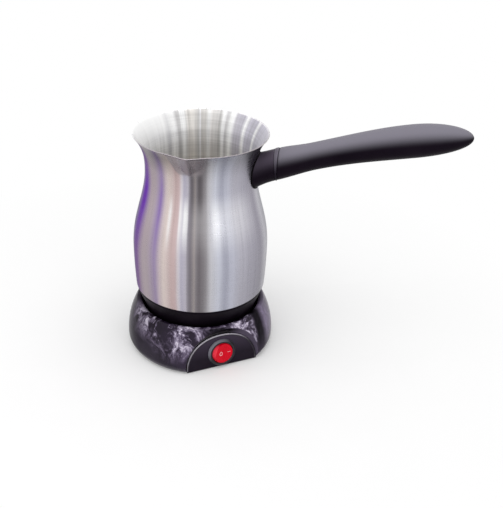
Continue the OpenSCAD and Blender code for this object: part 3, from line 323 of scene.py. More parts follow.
def brushed(name, bands, levels, rough, aniso, metallic, outer=False):
    """Satin steel turned on a lathe: soft upright bands of painted reflections, and fine rings round the
    axis.

    bands gives the painted reflections' colours round the axis as (degrees, colour), and levels their
    painted brightness by height as (millimetres, factor). The outer side has painted violet reflections,
    highlights and shade of its own, and the inside and the rim have a stronger grain and a lighter upper
    left, a painted white reflection.
    """
    mat, tree, bsdf, at = start(name, Metallic=metallic, Anisotropic=aniso)
    turn = plan_turn(tree, at)
    drift = plus(tree, turn, spread(tree, noise(tree, at, 16.0, 2.0), 0.2, 0.8, -0.003, 0.003))
    z = axes_of(tree, at)[2]
    height = spread(tree, z, STEEL_Z * MM, (STEEL_Z + POT_H) * MM)
    levels = ramp(tree, height, [((h - STEEL_Z) / POT_H, k) for h, k in levels], "CARDINAL")
    base = mix(tree, 1.0, by_turn(tree, drift, bands), levels, "MULTIPLY")
    if outer:
        base = painted_violet_reflection(tree, bsdf, base, drift, height)
        base = painted_lip_shade(tree, base, turn, z)
        base = belly_lights(tree, base, drift, height)
        base = painted_neck_darkening(tree, base, drift, height)
    streaks = upright_streaks(tree, at, 16.0 if outer else 22.0)
    rings = noise(tree, stretched(tree, at, (14.0, 14.0, 620.0)), 1.0, 2.0, 0.7)
    uneven, grooved = ((0.92, 1.06), (0.98, 1.015)) if outer else ((0.8, 1.12), (0.87, 1.06))
    base = toned(tree, base, streaks, 0.3, 0.7, *uneven)
    base = toned(tree, base, rings, 0.35, 0.65, *grooved)
    if not outer:
        base = painted_inner_light(tree, base, drift, height)
    feed(tree, bsdf, Base_Color=base, Roughness=spread(tree, plus(tree, rings, streaks), 0.7, 1.3, *rough),
         Tangent=node(tree, "Tangent", {"direction_type": "RADIAL", "axis": "Z"}).outputs[0],
         Normal=bump(tree, rings, 0.00002, 0.15))
    return mat


# Half of the lip's rounded foot in degrees, and bands of reflections in degrees from the camera's side
LIP_BOWL = 19.0
OUTER_BANDS = [
    (-180, "a8a7ac"), (-96, "5a5066"), (-84, "443a50"), (-76, "85778c"), (-66, "a8979f"), (-52, "b3a5ac"),
    (-41, "ab9db4"), (-37.5, "cbbcc3"), (-33, "dfd1cc"), (-28.5, "dccac8"), (-25.5, "ccb5b4"),
    (-21.5, "cdb6b6"), (-19, "efe9ef"), (-16.5, "c6c3d6"), (-12.8, "cfcbd8"), (-10.8, "8b8790"),
    (-9, "757078"), (-7.4, "8a858a"), (-6, "b3aaa8"), (-4.5, "8f8a8e"), (-2, "756f74"), (1, "837e82"),
    (4, "9a969a"), (8, "cfced4"), (14, "d2d4e0"), (20, "aeafbe"), (26, "c5c6d4"), (34, "bdbbc6"),
    (62, "96929e"), (72, "b5b3bb"), (84, "7b7985"), (179, "a8a7ac")]
INNER_BANDS = [
    (-180, "f6f5f8"), (-177, "cac8c6"), (-171, "ece8e3"), (-167, "d9d5d1"), (-163, "ffffff"),
    (-160, "ffffff"), (-157, "cccacb"), (-152, "ffffff"), (-148, "ffffff"), (-144, "c9c8cc"),
    (-140, "ffffff"), (-100, "ffffff"), (-60, "dcdbd8"), (-20, "d2d1cc"), (20, "d2d1cd"), (60, "d0cfd3"),
    (92, "ceccd6"), (110, "c3c0cc"), (114, "ffffff"), (117, "c6c3d0"), (127, "c9c6d2"), (131, "ffffff"),
    (135, "c2bfca"), (143, "c8c5ce"), (147, "ffffff"), (150, "ffffff"), (153, "c8c6c8"), (157, "ffffff"),
    (160, "cac8c7"), (169, "d8d5d3"), (172, "ffffff"), (175, "d2cfcc")]
RIM_BANDS = [(-180, "ffffff"), (-95, "ffffff"), (-60, "b5aeb2"), (60, "b5aeb2"), (100, "efedf1"),
             (179, "ffffff")]

# Painted brightness of the band reflections by height, as (millimetres, factor); on the outside darkest
# under the rim, where the flaring neck faces down
OUTER_LEVELS = [(51, 0.84), (80, 0.86), (104, 0.94), (121, 1.0), (138, 0.92), (152, 0.8), (160, 0.62),
                (168.4, 0.55), (170, 0.9)]
INNER_LEVELS = [(51, 1.0), (150, 1.0), (162, 0.97), (170, 0.97)]
RIM_LEVELS = [(51, 1.0), (170, 1.0)]

steel_outer = brushed("steel_outer", OUTER_BANDS, OUTER_LEVELS, rough=(0.24, 0.34), aniso=0.6, metallic=1.0,
                      outer=True)
steel_inner = brushed("steel_inner", INNER_BANDS, INNER_LEVELS, rough=(0.3, 0.42), aniso=0.5, metallic=0.2)
steel_rim = brushed("steel_rim", RIM_BANDS, RIM_LEVELS, rough=(0.25, 0.35), aniso=0.0, metallic=0.4)


# ------------------------------------------------------------------ gloss of the base

def drawn_in(tree, z, from_z, to_z, power, depth):
    """How far the base's turned skin draws in, from none at one height to a depth at another."""
    share = maths(tree, "DIVIDE", minus(tree, z, from_z * MM), (to_z - from_z) * MM)
    return times(tree, maths(tree, "POWER", most(tree, share, 0.0), power), depth * MM)


def painted_recess_parts(tree, at, turn):
    """Where painted recess shade goes: 1 in the panel's recess, in the well and on the brow over the recess,
    and 0 elsewhere on the skin.
    """
    x, y, z = axes_of(tree, at)
    foot = drawn_in(tree, z, BULGE_Z, BASE_EDGE_Z, 2.0, BASE_R - BASE_FOOT_R)
    slope = drawn_in(tree, z, BULGE_Z, CREST_Z, 2.1, BASE_R - BASE_CREST_R)
    skin_r = minus(tree, minus(tree, BASE_R * MM, foot), slope)
    r = maths(tree, "SQRT", plus(tree, times(tree, x, x), times(tree, y, y)))
    depth = times(tree, minus(tree, skin_r, r),
                  spread(tree, z, (CREST_Z - 0.6) * MM, (CREST_Z - 0.2) * MM, 1.0, 0.0))
    # Painted shade: a dark strip on the brow over the recess
    brow = times(tree, spread(tree, z, 30.5 * MM, 32.5 * MM, 0.0, 0.85),
                 spread(tree, r, 48.1 * MM, 48.6 * MM),
                 by_turn(tree, turn, [(3, 0), (9, 1), (21, 1), (27, 0)]))
    return most(tree, spread(tree, depth, 0.1 * MM, 0.35 * MM), brow)


def upper_slope(tree, z, turn):
    """0 at the base's foot and 1 on its upper slope, which starts higher on the camera's left."""
    rise = by_turn(tree, turn, [(-120, 0.0), (-60, 0.011), (-44, 0.009), (-33, 0.0)])
    return spread(tree, minus(tree, z, rise), 7 * MM, 22 * MM)


def painted_reflection_amount(tree, bent, turn, high):
    """How much silver of painted reflection there is at a place: patches and veins, both broken up by fine
    sparks, and strongest towards the camera's side.
    """
    cloud = noise(tree, bent, 66.0, 6.0, 0.68, 0.4)
    spark = noise(tree, bent, 240.0, 5.0, 0.75, 0.2)
    vein = maths(tree, "ABSOLUTE", minus(tree, noise(tree, bent, 50.0, 4.0, 0.6, 0.5), 0.5))
    patches = times(tree, spread(tree, cloud, 0.455, 0.56), spread(tree, spark, 0.36, 0.58, 0.25, 1.0))
    veins = times(tree, spread(tree, vein, 0.0, 0.024, 1.0, 0.0), spread(tree, spark, 0.42, 0.64, 0.1, 0.9))
    side = by_turn(tree, turn, [(-180, 0.25), (-80, 0.05), (-70, 0.5), (-54, 0.9), (-12, 1.0), (16, 0.6),
                                (36, 1.0), (49, 1.0), (53, 0.03), (61, 0.03), (68, 0.3), (180, 0.25)])
    return times(tree, most(tree, patches, veins), high, side)


def ground_with_painted_light(tree, bent, turn, high, painted_recess):
    """The dark violet under the silver, with painted reflections as a black and a pale band at the right,
    and painted shade in the recess, with painted light on its right flank.
    """
    ground = mix(tree, spread(tree, noise(tree, bent, 24.0, 3.0, 0.6), 0.35, 0.7), "0f0812", "2f2637")
    # Painted reflections: a black band, then a pale band, at the right
    black = by_turn(tree, turn, [(50, 0), (54, 1), (59, 1), (63, 0)])
    ground = mix(tree, times(tree, black, high), ground, "08050a")
    pale = by_turn(tree, turn, [(61, 0), (68, 1), (84, 0.4), (125, 0)])
    ground = mix(tree, times(tree, pale, high), ground, "6b6177")
    # Painted shade in the recess, with painted light on its right flank
    recess = by_turn(tree, turn, [(28, "050306"), (40, "5a5263"), (60, "5a5263"), (75, "050306")])
    return mix(tree, painted_recess, ground, recess)


def marbled_painted_reflections(name):
    """Glossy dark violet plastic with a painted violet tint on its gloss, and painted reflections drawn as
    silvery marbling on its upper slope; the panel's recess has painted shade and no marbling.
    """
    mat, tree, bsdf, at = start(name, Coat_Roughness=0.05, Coat_Tint="c9b2dd", Specular_Tint="b9a2d0")
    turn = plan_turn(tree, at)
    high = upper_slope(tree, axes_of(tree, at)[2], turn)
    warp = node(tree, "TexNoise", Vector=at, Scale=34.0, Detail=3.0, Roughness=0.6).outputs["Color"]
    bent = vector(tree, "MULTIPLY_ADD", _0=warp, _1=(0.03, 0.03, 0.03),
                  _2=stretched(tree, at, (1.0, 1.0, 0.5)))
    painted_recess = painted_recess_parts(tree, at, turn)
    amount = times(tree, painted_reflection_amount(tree, bent, turn, high), minus(tree, 1.0, painted_recess))
    # Painted reflections, drawn as silvery marbling
    silver = ramp(tree, amount, [(0.0, 0.0), (0.3, "544d5b"), (0.6, "a09aa8"), (0.95, "ece9ee")])
    shine = by_turn(tree, turn, [(-130, 0.3), (-95, 0.08), (-55, 0.08), (-38, 0.3), (47, 0.3), (53, 0.04),
                                 (61, 0.04), (68, 0.16), (90, 0.16), (130, 0.3)])
    shine = times(tree, shine, spread(tree, painted_recess, 0.0, 1.0, 1.0, 0.1))
    smooth = rounded_edges(tree, 0.0006)
    feed(tree, bsdf, Coat_Weight=shine, Specular_IOR_Level=times(tree, shine, 0.5),
         Base_Color=mix(tree, 1.0, ground_with_painted_light(tree, bent, turn, high, painted_recess), silver, "ADD"),
         Roughness=spread(tree, amount, 0.0, 1.0, 0.2, 0.45), Normal=smooth,
         Coat_Normal=bump(tree, noise(tree, at, 70.0, 2.0, 0.4), 0.00012, 0.6, Normal=smooth))
    return mat


# ------------------------------------------------------------------ the other materials, by record slot

# Directions of painted light on moulded parts, with the camera towards -Y, and a painted violet tint on what
# dark plastic reflects at a low angle
UPWARD = (0.0, -0.26, 0.966)
UP_LEFT = (-0.5, -0.35, 0.79)
UP_AHEAD = (-0.15, -0.4, 0.9)
LEFT_AHEAD = (-0.72, -0.55, 0.42)
PAINTED_REFLECTION_TINT = "c5acd8"

METALS = {
    "bright_steel": dict(low="b9b9bd", high="d9d9dc", rough=(0.2, 0.34)),
    "cast_aluminium": dict(low="a9aaac", high="c6c7c9", rough=(0.4, 0.55), along=(300, 300, 300),
                           deep=0.00004),
    "element_sheath": dict(low="5a5450", high="7d736b", rough=(0.35, 0.5), along=(200, 200, 200)),
    "contact_brass": dict(low="b98f3c", high="dcb765", rough=(0.22, 0.36)),
}

PLASTICS = {
    "white_ceramic": dict(low="dcd8cc", high="eeebe2", rough=(0.3, 0.42)),
    "fuse_body": dict(low="cfc59a", high="e0d8b4", rough=(0.3, 0.4)),
    "red_silicone": dict(low="a2402f", high="b8503c", rough=(0.5, 0.6)),
    "black_plastic": dict(low="0a060b", high="130d14", rough=(0.36, 0.46), grain=1400.0, deep=0.000012,
                          Specular_IOR_Level=0.08, Specular_Tint=PAINTED_REFLECTION_TINT),
    "connector_plastic": dict(low="26262a", high="333338", rough=(0.45, 0.55)),
    "lead_brown": dict(low="5c3018", high="71401f"),
    "lead_white": dict(low="dedacb", high="edeadf"),
    "lead_blue": dict(low="2b4fa8", high="3a63c4"),
    "lead_green": dict(low="5e8f2c", high="a7b53a"),
    # Painted light on the upward faces of the handle and its ring
    "handle_plastic": dict(low="0d080f", high="150f17", rough=(0.38, 0.48), grain=1500.0,
                           bloom=(UPWARD, "7f7c86", 0.24, 1.0), Specular_IOR_Level=0.06,
                           Specular_Tint=PAINTED_REFLECTION_TINT),
    "ring_plastic": dict(low="17131a", high="1f1a23", rough=(0.32, 0.42), grain=1500.0, deep=0.00001,
                         bloom=(UPWARD, "6d6873", 0.05, 1.0), Specular_IOR_Level=0.08, Specular_Tint=PAINTED_REFLECTION_TINT),
    # Painted light: the panel gets lighter towards its top
    "panel_plastic": dict(low="17131a", high="221d25", rough=(0.46, 0.58), grain=1600.0, deep=0.00003,
                          fade=("463e4d", 9, 29), Specular_IOR_Level=0.12, Specular_Tint=PAINTED_REFLECTION_TINT),
    # Painted light on the bezel's upper left, and a painted highlight on the rocker's left flank
    "bezel_plastic": dict(low="1f1e23", high="2a292f", rough=(0.34, 0.44), grain=1500.0, deep=0.00001,
                          bloom=(UP_LEFT, "7b7a84", 0.1, 0.8), Specular_IOR_Level=0.25),
    "rocker_red": dict(low="c8001a", high="dc0224", rough=(0.24, 0.32), deep=0.000006, rounding=0.0004,
                       bloom=(LEFT_AHEAD, "ff3f52", 0.6, 0.95), Specular_IOR_Level=0.1),
    "white_plastic": dict(low="e2dfd6", high="f0eee8", rough=(0.35, 0.45)),
    "foot_rubber": dict(low="0f0f10", high="1a1a1b", rough=(0.7, 0.85), grain=700.0, deep=0.00004),
}

# Pieces of the scene whose plastic differs from their slot's
OWN_PLASTICS = {
    # Painted light on the collar's upward faces
    "collar_plastic": dict(low="0d080f", high="150f17", rough=(0.38, 0.48), grain=1500.0,
                           bloom=(UPWARD, "564e5b", 0.15, 1.0), Specular_IOR_Level=0.06,
                           Specular_Tint=PAINTED_REFLECTION_TINT),
    # The dark bead along the collar's junction with the steel
    "seal_black": dict(low="070408", high="0d080e", rough=(0.5, 0.6), grain=1500.0, deep=0.00001,
                       rounding=0.0001, Specular_IOR_Level=0.05),
    # Painted highlight on the rounded edge's faces that look up and ahead
    "panel_edge": dict(low="1f1a22", high="2b2530", rough=(0.3, 0.4), grain=1500.0, deep=0.000005,
                       rounding=0.0001, bloom=(UP_AHEAD, "ece6f2", 0.35, 0.9), Specular_IOR_Level=0.2),
    "mark_white": dict(low="e8dcdd", high="f7f1f1", rough=(0.4, 0.5), grain=2000.0, deep=0.000004,
                       rounding=0.0001),
}

MATERIALS = {"pot_steel": steel_outer, "base_gloss": marbled_painted_reflections("base_gloss")}
for name, look in METALS.items():
    MATERIALS[name] = metal(name, **look)
for name, look in (PLASTICS | OWN_PLASTICS).items():
    MATERIALS[name] = moulded(name, **look)

for part in frame["record"]["subparts"]:
    mesh = frame["nodes"][part["node"]].data
    mesh.materials.clear()
    mesh.materials.append(MATERIALS[part["material_slot"]])


# ------------------------------------------------------------------ making meshes

def piece(name, points, faces, materials, body, slot, sharp=40.0, which=None):
    """A mesh piece from points in millimetres, riding on a body. which gives each face's material."""
    mesh = bpy.data.meshes.new(name)
    mesh.from_pydata([Vector(p) * MM for p in points], [], faces)
    made = bmesh.new()
    made.from_mesh(mesh)
    bmesh.ops.recalc_face_normals(made, faces=made.faces)
    made.to_mesh(mesh)
    made.free()
    mesh.shade_smooth()
    mesh.set_sharp_from_angle(angle=math.radians(sharp))
    for m in materials:
        mesh.materials.append(m)
    if which:
        for face, k in zip(mesh.polygons, which):
            face.material_index = k
    obj = bpy.data.objects.new(name, mesh)
    bpy.context.scene.collection.objects.link(obj)
    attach(obj, body)
    return obj


def lathe(profile, angles, warp):
    """Points and faces of a profile of (radius, height) turned round Z; a radius of 0 is a pole.

    warp gives how far a point is moved out, from its plan angle and height.
    """
    points, rows, faces = [], [], []
    for r, z in profile:
        if r < 1e-6:
            rows.append([len(points)])
            points.append((0, 0, z))
        else:
            rows.append(range(len(points), len(points) + len(angles)))
            for a in angles:
                k = r + warp(a, z)
                points.append((k * cos(a), k * sin(a), z))
    n = len(angles)
    for low, high in zip(rows, rows[1:]):
        for i in range(n):
            k = (i + 1) % n
            face = [low[i % len(low)], low[k % len(low)], high[k % len(high)], high[i % len(high)]]
            faces.append(list(dict.fromkeys(face)))
    return points, faces


def loft(rings, cap_start=True, cap_end=True):
    """Points and faces through rings of points of one length."""
    n = len(rings[0])
    points = [p for r in rings for p in r]
    faces = [[j * n + i, j * n + (i + 1) % n, (j + 1) * n + (i + 1) % n, (j + 1) * n + i]
             for j in range(len(rings) - 1) for i in range(n)]
    if cap_start:
        faces.append(list(range(n)))
    if cap_end:
        faces.append([(len(rings) - 1) * n + i for i in range(n)])
    return points, faces


# ------------------------------------------------------------------ pot

def pot_r(h):
    """The steel's outer radius at a height above its lower edge."""
    if h < BELLY_H:
        return BELLY_R - (BELLY_R - FOOT_R) * (1 - h / BELLY_H) ** 2
    if h < NECK_H:
        k = ((h - BELLY_H) / (NECK_H - BELLY_H)) ** 1.1
        return NECK_R + (BELLY_R - NECK_R) * (1 + cos(180 * k)) / 2
    return NECK_R + (RIM_R - NECK_R) * ((h - NECK_H) / (POT_H - NECK_H)) ** 2.6


LIP_FOOT_H = POT_H - LIP_H
LIP_FOOT_R = pot_r(LIP_FOOT_H)
LIP_EDGE = math.degrees(math.asin(LIP_HALF_W / RIM_R))
LIP_SLOPE = (RIM_R + LIP_OUT - RIM_R * cos(LIP_EDGE)) / LIP_HALF_W
# The lip's plan angle, and where it fades out: in degrees beyond its edge, in millimetres below its foot
LIP_AT, LIP_FADE = -90, 6
# Half of the rounded creases where the facets leave the neck, at the lip's left and right, and of its ridge
CREASE_LEFT, CREASE_RIGHT, RIDGE_SOFT = 0.2, 0.55, 0.022
RIDGE_PROUD = 0.35


def lip(a, z):
    """How far the pressed lip pushes the steel out at plan angle a: two flat facets with a soft ridge."""
    h = z - STEEL_Z
    off = (a - LIP_AT + 180) % 360 - 180
    if abs(off) > LIP_EDGE + LIP_FADE or h < LIP_FOOT_H - LIP_FADE:
        return 0
    ridge = LIP_FOOT_R + (RIM_R + LIP_OUT - LIP_FOOT_R) * (h - LIP_FOOT_H) / LIP_H + RIDGE_PROUD
    facet = ridge / (cos(off) + LIP_SLOPE * math.hypot(sin(off), RIDGE_SOFT))
    d = facet - pot_r(h)
    w = CREASE_LEFT if off < 0 else CREASE_RIGHT
    fade = ease(1, 0, (abs(off) - LIP_EDGE) / LIP_FADE)
    return fade * (max(0, d) if abs(d) > w else (d + w) ** 2 / (4 * w))


def pot_profile():
    """The steel's section in four stretches: underside, outside, rolled rim and inside."""
    steps, low, high, corner = 110, 0.25, POT_H - 0.4, 6
    outside = [(pot_r(h), STEEL_Z + h) for h in [low + i * (high - low) / steps for i in range(steps + 1)]]
    rim = [(RIM_R - WALL / 2 + WALL / 2 * cos(a), STEEL_Z + POT_H - WALL / 2 + WALL / 2 * sin(a))
           for a in range(15, 180, 15)]
    floor_z = STEEL_Z + FLOOR_H + WALL
    inside = [(r - WALL, z) for r, z in reversed(outside) if z > floor_z + corner]
    r, z = inside[-1]
    inside += [(r - (z - floor_z) * (1 - cos(a)), floor_z + (z - floor_z) * (1 - sin(a)))
               for a in range(10, 91, 10)]
    inside += [(flat_r, floor_z) for flat_r in range(36, -1, -6)]
    under = [(flat_r, STEEL_Z + FLOOR_H) for flat_r in (0, 30, pot_r(FLOOR_H) - WALL)]
    under += [(FOOT_R - WALL, STEEL_Z + 0.2), (FOOT_R - WALL / 2, STEEL_Z), (FOOT_R - 0.1, STEEL_Z + 0.06)]
    return under, outside, rim, inside


def pot_angles():
    """Plan angles of the steel's upright lines, close together at the lip."""
    coarse, fine, half = 1.5, 0.4, 22
    found, a = [], -180.0
    while a < 179.9:
        found.append(a)
        a += fine if abs(a - LIP_AT) < half else coarse
    return found


under, outside, rim, inside = pot_profile()
angles = pot_angles()
kinds = [0] * (len(under) + len(outside) - 1) + [1] * (len(rim) + 1) + [2] * (len(inside) - 1)
pot = piece("pot_skin", *lathe(under + outside + rim + inside, angles, lip),
            [steel_outer, steel_rim, steel_inner], "pot", "pot_steel", 60,
            [kind for kind in kinds for _ in angles])
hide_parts("pot_shell")

# ------------------------------------------------------------------ handle

# The handle's middle line in the XZ plane: its root, the reach and rise of its tip, the slopes at both, and
# how far along each slope the bend's control points lie
ROOT = (36.0, STEEL_Z + NECK_H + 0.8)
REACH, RISE = 184.6, 37.2
ROOT_SLOPE, TIP_SLOPE, PULL = 20, 5, 50.0
TIP = Vector((REACH, ROOT[1] + RISE))
BEND = [Vector(ROOT), Vector(ROOT) + PULL * Vector((1, math.tan(math.radians(ROOT_SLOPE)))),
        TIP - PULL * Vector((1, math.tan(math.radians(TIP_SLOPE)))), TIP]
COLLAR_END, RING_END = 50.6, 54.0
# The seams lean: how far each is moved along the handle at mid height, and how far more at its top
COLLAR_SEAM, GRIP_SEAM = (2.5, 2.2), (1.0, 3.5)
SIDES = 96
POWER = 2.25
# Width and thickness of the handle at the seams, at the grip's waist and at its swell
WIDTH, THICK = 21, 21.2
GRIP_WIDTHS, GRIP_THICKS = (WIDTH, 18.2, 23.4), (THICK, 18.6, 22)
# Where along the grip the waist and the swell are, as shares of its length
WAIST_AT, SWELL_AT = 0.2, 0.7
# How much wider the collar gets at the steel, and over what length
FLARE, FLARE_L = 3.8, 14.6


def curve_at(t):
    u = 1 - t
    return u ** 3 * BEND[0] + 3 * t * u * u * BEND[1] + 3 * t * t * u * BEND[2] + t ** 3 * BEND[3]


def curve_slope(t):
    u = 1 - t
    d = u * u * (BEND[1] - BEND[0]) + 2 * t * u * (BEND[2] - BEND[1]) + t * t * (BEND[3] - BEND[2])
    return math.degrees(math.atan2(d[1], d[0]))


def bisect(lo, hi, steps, below):
    """Where between lo and hi below(x) ends being true."""
    for _ in range(steps):
        mid = (lo + hi) / 2
        lo, hi = (mid, hi) if below(mid) else (lo, mid)
    return lo


def ring_point(x, w, t, q):
    """A point of the handle's section at x along it, at angle q round the section."""
    k = bisect(0.0, 1.0, 30, lambda mid: curve_at(mid)[0] < x)
    c, a = curve_at(k), curve_slope(k)
    n = t / 2 * signed_power(sin(q), 2 / POWER)
    return (c[0] - n * sin(a), w / 2 * signed_power(cos(q), 2 / POWER), c[1] + n * cos(a))


def height_of(i):
    """How high one of the section's points lies, from -1 at the bottom to 1 at the top."""
    return signed_power(sin(360 * i / SIDES), 2 / POWER)


def collar_seam(i):
    return COLLAR_END + COLLAR_SEAM[0] + COLLAR_SEAM[1] * height_of(i)


def grip_seam(i):
    return RING_END + GRIP_SEAM[0] + GRIP_SEAM[1] * height_of(i)


def leaning_ring(places, w, t):
    """A section whose points lie at places of their own along the handle."""
    return [ring_point(x, w, t, 360 * i / SIDES) for i, x in enumerate(places)]


def collar_size(size, x):
    return size + FLARE * max(0, (COLLAR_END - x) / FLARE_L) ** 2


def collar_point(x, i, further=0.0, proud=0.0):
    """A point of the collar at x along the handle, or a little further along it and further out."""
    return ring_point(x + further, collar_size(WIDTH + proud, x), collar_size(THICK + proud, x),
                      360 * i / SIDES)


def in_steel(x, i):
    """Whether the collar's line i is still inside the pot's steel at x."""
    px, py, pz = collar_point(x, i)
    return math.hypot(px, py) < pot_r(pz - STEEL_Z) - 0.15


def collar_rings(starts):
    """The collar, from where its lines meet the steel to its rounded edge at the seam."""
    steps, rounding, inset = 24, 0.4, 0.8
    rings = []
    for j in range(steps + 1):
        rings.append([collar_point(x + (collar_seam(i) - rounding - x) * j / steps, i)
                      for i, x in enumerate(starts)])
    for a in range(15, 91, 15):
        less = inset * (1 - cos(a))
        rings.append(leaning_ring([collar_seam(i) - rounding + rounding * sin(a) for i in range(SIDES)],
                                  WIDTH - less, THICK - less))
    return rings


def junction_bead_rings(starts):
    """A thin round bead where the collar sits on the steel."""
    bead_r, further, proud = 0.5, 0.45, 0.2
    line = [Vector(collar_point(x, i, further, proud)) for i, x in enumerate(starts)]
    middle = sum(line, Vector()) / len(line)
    rings = []
    for i, p in enumerate(line + line[:1]):
        along = (line[(i + 1) % SIDES] - line[i - 1]).normalized()
        outward = (p - middle - (p - middle).dot(along) * along).normalized()
        up = along.cross(outward)
        rings.append([p + bead_r * (outward * cos(k) + up * sin(k)) for k in range(0, 360, 30)])
    return rings


def trim_rings():
    """The narrow ring, a wedge between the two seams, which swells in its middle and sinks at its edges."""
    rings = []
    for s in (0, 0.04, 0.1, 0.2, 0.35, 0.5, 0.65, 0.8, 0.9, 0.96, 1):
        proud = 0.7 - 0.9 * abs(2 * s - 1) ** 6
        places = [collar_seam(i) + s * (grip_seam(i) - collar_seam(i)) for i in range(SIDES)]
        rings.append(leaning_ring(places, WIDTH + proud, THICK + proud))
    return rings


def grip_size(sizes, s):
    """The grip's width or thickness at share s of its length: waist, swell, then a rounded tip."""
    root, waist, swell = sizes
    if s < WAIST_AT:
        return ease(root, waist, s / WAIST_AT)
    k = ease(waist, swell, (s - WAIST_AT) / (SWELL_AT - WAIST_AT))
    return k * (1 if s < SWELL_AT else math.sqrt(max(0, 1 - ((s - SWELL_AT) / (1 - SWELL_AT)) ** 2)))


def grip_rings():
    """The grip, from its rounded edge at the seam to its tip; its rings stop leaning a quarter along."""
    inset, rounding, steps, first, last, lean_end = 1.8, 0.7, 130, 0.0056, 0.99995, 0.25
    rings = []
    for a in range(0, 90, 15):
        less = inset * (1 - sin(a))
        rings.append(leaning_ring([grip_seam(i) + rounding * (1 - cos(a)) for i in range(SIDES)],
                                  WIDTH - less, THICK - less))
    for j in range(1, steps + 1):
        s = first + (last - first) * sin(90 * j / steps)
        lean = max(0, 1 - s / lean_end) ** 2
        places = [RING_END + s * (REACH - RING_END) + lean * (grip_seam(i) - RING_END) for i in range(SIDES)]
        rings.append(leaning_ring(places, grip_size(GRIP_WIDTHS, s), grip_size(GRIP_THICKS, s)))
    return rings


# Where each of the collar's lines meets the steel, between 36 and 50 mm from the pot's axis
starts = [bisect(36.0, 50.0, 24, lambda x: in_steel(x, i)) for i in range(SIDES)]
collar = piece("collar_skin", *loft(collar_rings(starts), cap_start=False), [MATERIALS["collar_plastic"]],
               "pot", "handle_plastic", 50)
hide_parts("handle_collar")
# A thin dark bead along the line where the collar meets the steel
piece("collar_junction_bead", *loft(junction_bead_rings(starts), cap_start=False, cap_end=False), [MATERIALS["seal_black"]],
      "pot", "handle_plastic", 70)
trim = piece("ring_skin", *loft(trim_rings()), [MATERIALS["ring_plastic"]], "pot", "ring_plastic", 50)
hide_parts("handle_ring")
grip = piece("grip_skin", *loft(grip_rings()), [MATERIALS["handle_plastic"]], "pot", "handle_plastic", 50)
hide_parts("handle_grip")

# ------------------------------------------------------------------ marks on the rocker

ROCKER_TURN, ROCKER_FRONT, HOLLOW_R = 11, -3.2, 32
PANEL = (Matrix.Rotation(math.radians(PANEL_TURN), 4, "Z") @ Matrix.Translation((0, -PANEL_D, 0))
         @ Matrix.Rotation(math.radians(-PANEL_LEAN), 4, "X"))
ROCKER = (PANEL @ Matrix.Translation((0, 0.5, SWITCH_V))
          @ Matrix.Rotation(math.radians(ROCKER_TURN), 4, "Z"))


def face_y(x):
    """The rocker's hollow face, in its own frame."""
    return ROCKER_FRONT - HOLLOW_R + math.sqrt(HOLLOW_R ** 2 - x * x)


def bead_rings(line, r, closed):
    """A thin flattened bead along a line of (x, z) points on the rocker's face."""
    rings = []
    last = len(line) - 1
    for i, (x, z) in enumerate(line):
        before = line[i - 1] if i or closed else line[0]
        after = line[i + 1] if i < last else line[0 if closed else last]
        d = Vector((after[0] - before[0], after[1] - before[1])).normalized()
        section = []
        for a in range(0, 360, 30):
            side, up = r * cos(a), 0.5 * r * sin(a)
            px, pz = x - d[1] * side, z + d[0] * side
            section.append(ROCKER @ Vector((px, face_y(px) - up, pz)))
        rings.append(section)
    return rings + rings[:1] if closed else rings


# The middle lines of the two marks, across and up the rocker: a closed oval and a dash
o_line = [(-2.4 + 1.1 * cos(a), 0.4 + 1.5 * sin(a)) for a in range(0, 360, 10)]
i_line = [(3.1 + 0.2 * k, 0.3) for k in range(13)]
for name, line, r, closed in (("mark_off", o_line, 0.15, True), ("mark_on", i_line, 0.11, False)):
    piece(name, *loft(bead_rings(line, r, closed), cap_start=not closed, cap_end=not closed),
          [MATERIALS["mark_white"]], "rocker", "white_plastic", 60)

# ------------------------------------------------------------------ rounded edge of the switch panel

EDGE_R, EDGE_BACK, EDGE_INSET, EDGE_START, EDGE_STEPS = 0.85, 0.5, 0.45, 2.6, 180


def arch_point(a):
    """A place on the middle of the panel's rounded edge, across and up its face."""
    return ((PANEL_HALF_W - EDGE_INSET) * signed_power(cos(a), 2 / ARCH_POWER),
            (PANEL_H - EDGE_INSET) * signed_power(sin(a), 2 / ARCH_POWER))


def edge_rings():
    """A round section carried over the arch, from near its right foot to near its left one."""
    rings = []
    for j in range(EDGE_STEPS + 1):
        a = EDGE_START + (180 - 2 * EDGE_START) * j / EDGE_STEPS
        (x0, z0), (x, z), (x1, z1) = arch_point(a - 0.5), arch_point(a), arch_point(a + 0.5)
        d = EDGE_R * Vector((x1 - x0, z1 - z0)).normalized()
        rings.append([PANEL @ Vector((x + d[1] * cos(k), EDGE_BACK - EDGE_R * sin(k), z - d[0] * cos(k)))
                      for k in range(0, 360, 24)])
    return rings


piece("panel_edge", *loft(edge_rings()), [MATERIALS["panel_edge"]], "base", "panel_plastic", 60)

# ------------------------------------------------------------------ background and floor

scene = bpy.context.scene
scene.view_settings.view_transform = "Standard"


def directly_seen(tree):
    """1 for rays from the camera and through mirrors or glass, and 0 for soft light."""
    path = node(tree, "LightPath").outputs
    return most(tree, most(tree, path["Is Camera Ray"], path["Is Glossy Ray"]), path["Is Transmission Ray"])


def studio():
    """A white background that lights things a little less than it shows."""
    world = bpy.data.worlds.new("studio")
    world.use_nodes = True
    tree = world.node_tree
    tree.nodes.clear()
    strength = spread(tree, directly_seen(tree), 0.0, 1.0, 0.8, 1.0)
    sky = node(tree, "Background", Color=1.0, Strength=strength)
    node(tree, "OutputWorld", Surface=sky.outputs[0])
    return world


